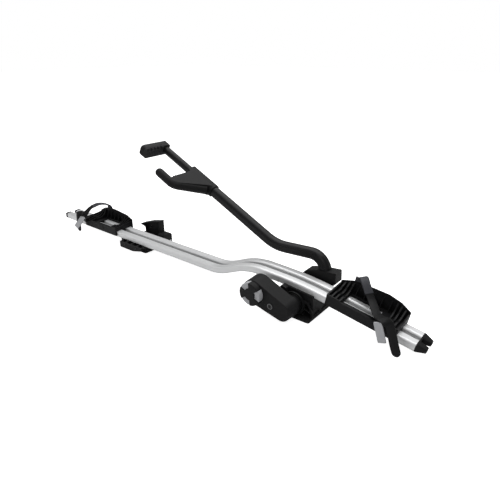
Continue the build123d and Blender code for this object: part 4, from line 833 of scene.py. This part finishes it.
@dataclass
class WheelHolder:
    """One wheel tray's looks, with the strap's smooth anchor and the ribbed strap.

    Lengths are in metres, but the stations and the anchor's root are in millimetres in the
    tray's own frame, where y is across the rail. The ribs leave a number of their places bare at
    each end of the strap.
    """

    name: str
    body: str
    seat: TraySeat
    anchor: tuple[Station, ...]
    strap: tuple[Station, ...]
    shop: PaintShop
    ribs: RibRow
    strap_width: float = 0.0225
    strap_thickness: float = 0.0026
    anchor_width: float = 0.0245
    anchor_thickness: float = 0.0045
    anchor_bevel_share: float = 0.3
    rib_pitch: float = 0.0066
    rib_width_share: float = 0.86
    rib_length_share: float = 0.46
    rib_height: float = 0.0034
    bare_at_start: int = 1
    bare_at_tip: int = 3
    root_y: float = 43.9
    root_depth: float = 5.0
    root_height: float = 26.0
    root_bevel: float = 1.2
    root_segments: int = 3

    def build_strap(self) -> None:
        """Makes the ribbed strap in place of the plain band."""
        route = Route(self.strap, self.seat)
        band = Band(self.strap_width, self.strap_thickness)
        body = band.mesh(f"{self.name}_strap_band", route)
        ribbed = route.frames(self.rib_pitch)[self.bare_at_start : -self.bare_at_tip]
        places = [
            (point + out * self.strap_thickness / 2, along, side, out)
            for point, along, side, out in ribbed
        ]
        sizes = (
            self.strap_width * self.rib_width_share,
            self.rib_pitch * self.rib_length_share,
            self.rib_height,
        )
        rows = self.ribs.make(f"{self.name}_strap_ribs", places, sizes)
        piece = finished_mesh(f"{self.name}_strap_ribbed", joined("strap", (body, rows)))
        self.shop.dress(piece, Surface.STRAP_RUBBER)
        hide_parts(f"{self.name}_strap")
        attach(piece, self.body)
        log.info("%s replaces the plain band", piece.name)

    def build_anchor(self) -> None:
        """Makes the strap's smooth anchor: a root on the high wall and a band over its top."""
        band = Band(
            self.anchor_width,
            self.anchor_thickness,
            round_tip=False,
            bevel_share=self.anchor_bevel_share,
        )
        arch = band.mesh(f"{self.name}_anchor_arch", Route(self.anchor, self.seat))
        meshes = [arch, self.root_mesh(self.anchor[0].place)]
        piece = finished_mesh(f"{self.name}_anchor_smooth", joined("anchor", meshes))
        self.shop.dress(piece, Surface.ANCHOR_GREY)
        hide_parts(f"{self.name}_anchor")
        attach(piece, self.body)
        log.info("%s replaces the plain anchor", piece.name)

    def root_mesh(self, start: tuple[float, float, float]) -> bpy.types.Mesh:
        """Block on the high wall's outer face that the anchor's band grows from.

        Args:
            start: The band's first place, in millimetres in the tray's own frame.

        Returns:
            The block's mesh.
        """
        middle = Vector((start[0], self.root_y, start[2] - self.root_height / 2))
        sides = Vector((self.anchor_width / MM, self.root_depth, self.root_height))
        work = bmesh.new()
        bmesh.ops.create_cube(work, size=1.0)
        for vert in work.verts:
            vert.co = middle + vert.co * sides
        bmesh.ops.bevel(
            work,
            geom=list(work.edges),
            offset=self.root_bevel,
            segments=self.root_segments,
            profile=0.5,
            affect="EDGES",
        )
        for vert in work.verts:
            vert.co = self.seat.to_carrier(vert.co)
        mesh = bpy.data.meshes.new(f"{self.name}_anchor_root")
        work.to_mesh(mesh)
        work.free()
        return mesh

    def dress(self) -> None:
        """Dresses every piece of the tray."""
        self.shop.dress_nodes([f"{self.name}_tray", f"{self.name}_buckle"], Surface.TRAY_BLACK)
        self.build_anchor()
        self.shop.dress_nodes([f"{self.name}_lever"], Surface.GRIP_GREY)
        self.shop.dress_nodes([f"{self.name}_lever_pin"], Surface.ZINC_STEEL)
        self.build_strap()


@dataclass(frozen=True)
class PadRow:
    """One row of ribs on the jaw's rubber, in shares of its height, pitch and relief."""

    name: str
    count: int
    pitch_share: float
    middle_share: float
    height_share: float
    relief_share: float


@dataclass
class JawPad:
    """The upper jaw's rubber face with its raised ribs.

    Attributes:
        shop: Where the rubber comes from.
        ribs: The rib maker.
        elbow: Where the arm's straight run starts, as x and z.
        origin: Where distances up the run are counted from, as x and z.
        face: Distance up the run to the rubber's face.
        height: The rubber's height across the run.
        first_y: Place of the first rib across the carrier.
        pitch: Distance between the fine ribs.
        relief: How far a rib of share 1 stands out.
        rows: The rows of ribs.
    """

    shop: PaintShop
    ribs: RibRow
    elbow: tuple[float, float] = (-0.141, 0.1307)
    origin: tuple[float, float] = (-0.190, 0.155)
    face: float = 0.433
    height: float = 0.036
    first_y: float = -0.0126
    pitch: float = 0.00675
    relief: float = 0.0022
    rows: tuple[PadRow, ...] = (
        PadRow("teeth", 5, 2.0, 0.34, 0.30, 1.5),
        PadRow("lines", 9, 1.0, -0.14, 0.54, 0.5),
    )

    def place(self, reach: float, y: float, rise: float) -> Vector:
        """Point in the carrier's frame from its place along the arm.

        Args:
            reach: Distance up the arm's straight run.
            y: Place across the carrier.
            rise: Distance above the run's middle line.

        Returns:
            The point in metres.
        """
        run, up = self.directions()
        return Vector((self.origin[0], y, self.origin[1])) + run * reach + up * rise

    def directions(self) -> tuple[Vector, Vector]:
        """Directions along the arm's straight run and away from it.

        Returns:
            The two unit vectors.
        """
        way = (self.origin[0] - self.elbow[0], 0.0, self.origin[1] - self.elbow[1])
        run = Vector(way).normalized()
        return run, Vector((run.z, 0.0, -run.x))

    def build(self) -> None:
        """Makes the ribbed rubber in place of the plain one."""
        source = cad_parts["upper_jaw_rubber"]
        plain = source.data.copy()
        plain.transform(source.matrix_world)
        run, up = self.directions()
        meshes = [plain]
        for row in self.rows:
            step = self.pitch * row.pitch_share
            rise = self.height * row.middle_share
            places = [
                (
                    self.place(self.face, self.first_y + step * k, rise),
                    Vector((0.0, 1.0, 0.0)),
                    up,
                    -run,
                )
                for k in range(row.count)
            ]
            sizes = (
                self.height * row.height_share,
                step / 2,
                2 * self.relief * row.relief_share,
            )
            meshes.append(self.ribs.make(f"jaw_{row.name}", places, sizes))
        piece = finished_mesh("upper_jaw_rubber_ribbed", joined("jaw_rubber", meshes), False)
        self.shop.dress(piece, Surface.SOFT_RUBBER)
        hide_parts("upper_jaw_rubber")
        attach(piece, "jaw")
        log.info("%s replaces the plain rubber", piece.name)


@dataclass(frozen=True)
class Lamp:
    """One soft square lamp: where it hangs, what it shines at, its side and its watts."""

    name: str
    place: tuple[float, float, float]
    aim: tuple[float, float, float]
    size: float
    power: float


@dataclass
class Studio:
    """Pale floor, soft lamps and the camera at the photograph's angle.

    The camera's pitch and turn are in degrees, its lens and sensor in millimetres, and the rest
    in metres.
    """

    lamps: tuple[Lamp, ...] = (
        Lamp("overhead", (-0.4, 0.5, 1.9), (-0.4, 0.0, 0.0), 2.6, 46.0),
        Lamp("key", (0.9, -1.7, 1.3), (-0.3, 0.0, 0.1), 1.2, 7.0),
        Lamp("side", (-1.9, -1.3, 0.9), (-0.4, 0.0, 0.1), 1.0, 5.0),
    )
    camera_place: tuple[float, float, float] = (0.533, -0.918, 0.640)
    camera_pitch: float = 23.92
    camera_turn: float = 38.12
    lens: float = 32.46
    sensor: float = 36.0
    near_clip: float = 0.01
    floor_size: float = 30.0
    floor_drop: float = 0.0005
    floor_grey: float = 0.8
    floor_roughness: float = 0.9
    floor_glow: float = 0.85
    sky_light: float = 0.3

    def build(self) -> None:
        """Builds the floor, the world, the lamps and the camera."""
        self.build_floor()
        self.build_world()
        for lamp in self.lamps:
            self.hang(lamp)
        self.build_camera()

    def build_floor(self) -> None:
        """Large pale floor that reads as white to the camera and keeps a faint shadow."""
        mesh = bpy.data.meshes.new("floor")
        half = self.floor_size / 2
        signs = ((-1, -1), (1, -1), (1, 1), (-1, 1))
        corners = [(sx * half, sy * half, -self.floor_drop) for sx, sy in signs]
        mesh.from_pydata(corners, [], [(0, 1, 2, 3)])
        floor = bpy.data.objects.new("floor", mesh)
        bpy.context.scene.collection.objects.link(floor)
        material = bpy.data.materials.new("floor_white")
        material.use_nodes = True
        sheet = NodeSheet(material.node_tree)
        shader = sheet.tree.nodes["Principled BSDF"]
        grey = self.floor_grey
        shader.inputs["Base Color"].default_value = (grey, grey, grey, 1.0)
        shader.inputs["Roughness"].default_value = self.floor_roughness
        glow = sheet.add("ShaderNodeEmission", Color=WHITE, Strength=self.floor_glow)
        both = sheet.add("ShaderNodeAddShader")
        sheet.put(both.inputs[0], shader.outputs[0])
        sheet.put(both.inputs[1], glow.outputs[0])
        pick = sheet.add("ShaderNodeMixShader")
        sheet.put(pick.inputs[0], self.seen_rays(sheet))
        sheet.put(pick.inputs[1], shader.outputs[0])
        sheet.put(pick.inputs[2], both.outputs[0])
        out = sheet.tree.nodes["Material Output"]
        sheet.put(out.inputs["Surface"], pick.outputs[0])
        mesh.materials.append(material)

    def seen_rays(self, sheet: NodeSheet) -> bpy.types.NodeSocket:
        """1 for camera and transmission rays.

        Args:
            sheet: The tree to add to.

        Returns:
            The mask's socket.
        """
        path = sheet.add("ShaderNodeLightPath")
        return sheet.math(
            "MAXIMUM", path.outputs["Is Camera Ray"], path.outputs["Is Transmission Ray"]
        )

    def build_world(self) -> None:
        """Even sky: white to the camera, and a plain level of light elsewhere."""
        world = bpy.data.worlds.new("studio")
        bpy.context.scene.world = world
        world.use_nodes = True
        sheet = NodeSheet(world.node_tree)
        sky = sheet.tree.nodes["Background"]
        sky.inputs["Color"].default_value = WHITE
        seen = sheet.add("ShaderNodeLightPath").outputs["Is Camera Ray"]
        extra = sheet.math("MULTIPLY", seen, 1.0 - self.sky_light)
        sheet.put(sky.inputs["Strength"], sheet.math("ADD", self.sky_light, extra))

    def hang(self, lamp: Lamp) -> None:
        """Adds one lamp.

        Args:
            lamp: The lamp.
        """
        data = bpy.data.lights.new(lamp.name, "AREA")
        data.shape = "SQUARE"
        data.size = lamp.size
        data.energy = lamp.power
        holder = bpy.data.objects.new(lamp.name, data)
        bpy.context.scene.collection.objects.link(holder)
        holder.location = lamp.place
        way = Vector(lamp.aim) - Vector(lamp.place)
        holder.rotation_euler = way.to_track_quat("-Z", "Y").to_euler()

    def build_camera(self) -> None:
        """Sets the camera at the photograph's angle."""
        data = bpy.data.cameras.new("photo_view")
        data.lens = self.lens
        data.sensor_width = self.sensor
        data.clip_start = self.near_clip
        camera = bpy.data.objects.new("photo_view", data)
        bpy.context.scene.collection.objects.link(camera)
        camera.location = self.camera_place
        camera.rotation_euler = (
            math.radians(90.0 - self.camera_pitch),
            0.0,
            math.radians(self.camera_turn),
        )
        bpy.context.scene.camera = camera


@dataclass
class Carrier:
    """The whole carrier: fixed pieces, arm, jaws, knob and the two wheel holders.

    Attributes:
        shop: Where the finishes come from.
        fall_share: Drop of the rail's front run for each metre forwards.
        shoulder: Where that run starts, as x and z.
        front_x: The front tray's place.
        rear_x: The rear tray's place.
        rear_run_z: Height of the rail's rear run.
        plain: Each finish and the construction nodes that it goes on as they are.
    """

    shop: PaintShop
    fall_share: float = 0.17
    shoulder: tuple[float, float] = (-0.002, 0.0826)
    front_x: float = 0.1705
    rear_x: float = -0.860
    rear_run_z: float = 0.04
    plain: dict[Surface, tuple[str, ...]] = field(
        default_factory=lambda: {
            Surface.ANODISED_RAIL: ("rail",),
            Surface.MOULDED_BLACK: (
                "front_cap",
                "rear_caps",
                "foot_base",
                "rear_bracket",
                "rear_claw",
                "arm_socket",
                "casing_body",
                "casing_cover",
                "lower_jaw",
                "jaw_bush",
                "screw_bearing",
                "dial_hub",
                "upper_jaw",
            ),
            Surface.ARM_BLACK: ("arm_tube", "jaw_bar"),
            Surface.SOFT_RUBBER: ("foot_pad", "rear_pad", "lower_jaw_rubber"),
            Surface.GRIP_GREY: ("dial_grips",),
            Surface.ZINC_STEEL: (
                "crossbar_nuts",
                "slot_nuts",
                "foot_slot_screw",
                "foot_clamp_screw",
                "bracket_slot_screws",
                "claw_pin",
                "pivot_shaft",
                "shaft_nut",
                "casing_screws",
                "drive_cable",
                "socket_screws",
                "dial_spindle",
                "clutch_disc",
                "clutch_spring",
                "jaw_screw",
            ),
            Surface.TURNED_BRASS: ("pivot_bushes", "jaw_nut"),
            Surface.LOCK_METAL: ("lock_ring",),
            Surface.BLACK_STEEL: ("lock_cylinder", "bracket_edge_screws"),
        }
    )

    def build(self) -> None:
        """Dresses every node and builds the wheel holders."""
        for surface, names in self.plain.items():
            self.shop.dress_nodes(names, surface)
        ribs = RibRow(self.shop)
        JawPad(self.shop, ribs).build()
        for holder in (self.front_holder(ribs), self.rear_holder(ribs)):
            holder.dress()

    def front_holder(self, ribs: RibRow) -> WheelHolder:
        """The front wheel's holder.

        Args:
            ribs: The rib maker.

        Returns:
            The holder.
        """
        shoulder_x, shoulder_z = self.shoulder
        groove = shoulder_z - (self.front_x - shoulder_x) * self.fall_share
        fall = math.atan(self.fall_share)
        return WheelHolder(
            "front",
            "front_wheel",
            TraySeat(Vector((self.front_x, 0.0, groove)), fall),
            (
                Station((-49.4, 47.1, 55.9), (0.45, 0.89, 0)),
                Station((-41.4, 43.0, 61.9), (0.45, 0.89, 0)),
                Station((-28.7, 29.9, 57.7), (0.45, 0.89, 0)),
                Station((-9.5, 18.6, 42.0), (0.5, 0.86, 0)),
            ),
            (
                Station((-16.0, 22.6, 47.5), (0.5, 0.86, 0)),
                Station((-8.5, 18.0, 41.1), (0.5, 0.86, 0)),
                Station((8.0, 6.0, 32.5), (0.52, 0.85, 0)),
                Station((30.0, -20.0, 28.5), (0.6, 0.8, 0)),
                Station((44.0, -36.5, 32.0), (0.75, 0.6, 0.28)),
                Station((55.0, -45.5, 37.0), (0.85, 0.25, 0.44)),
                Station((67.0, -52.5, 41.0), (0.86, 0, 0.5)),
                Station((77.0, -57.0, 39.0), (0.82, 0, 0.57)),
                Station((86.5, -59.0, 26.0), (0.79, 0, 0.61)),
                Station((100.5, -61.0, 1.5), (0.79, 0, 0.61)),
                Station((117.5, -65.0, -23.0), (0.79, 0, 0.61)),
            ),
            self.shop,
            ribs,
        )

    def rear_holder(self, ribs: RibRow) -> WheelHolder:
        """The rear wheel's holder.

        Args:
            ribs: The rib maker.

        Returns:
            The holder.
        """
        return WheelHolder(
            "rear",
            "rear_wheel",
            TraySeat(Vector((self.rear_x, 0.0, self.rear_run_z)), outward=-1.0),
            (
                Station((42.3, 45.9, 56.2), (1, 0.1, 0)),
                Station((47.0, 36.9, 62.4), (1, 0.1, 0)),
                Station((53.6, 23.0, 67.6), (1, 0.1, 0)),
                Station((58.5, 4.1, 69.7), (1, 0.1, 0)),
                Station((60.5, -20.0, 65.5), (1, 0.1, 0)),
            ),
            (
                Station((58.0, 6.0, 69.6), (1, 0.1, 0)),
                Station((58.8, 1.0, 69.4), (1, 0.1, 0)),
                Station((61.0, -24.6, 63.8), (1, 0.1, 0)),
                Station((66.0, -36.0, 53.5), (0.98, 0.1, 0.1)),
                Station((70.8, -42.0, 45.0), (0.94, 0.05, 0.3)),
                Station((76.0, -48.0, 40.5), (0.88, 0, 0.46)),
                Station((84.0, -54.0, 42.4), (0.87, 0, 0.5)),
                Station((94.0, -60.5, 39.0), (0.9, 0, 0.42)),
                Station((99.0, -60.5, 20.0), (0.97, 0, 0.24)),
                Station((104.0, -59.0, 0.0), (0.98, 0, 0.2)),
                Station((108.0, -58.0, -31.0), (0.98, 0, 0.16)),
            ),
            self.shop,
            ribs,
        )


def main() -> None:
    """Builds the studio and the carrier."""
    logging.basicConfig(level=logging.INFO, format="%(name)s: %(message)s")
    bpy.context.scene.view_settings.view_transform = "Standard"
    Studio().build()
    Carrier(PaintShop()).build()


if __name__ == "__main__":
    main()
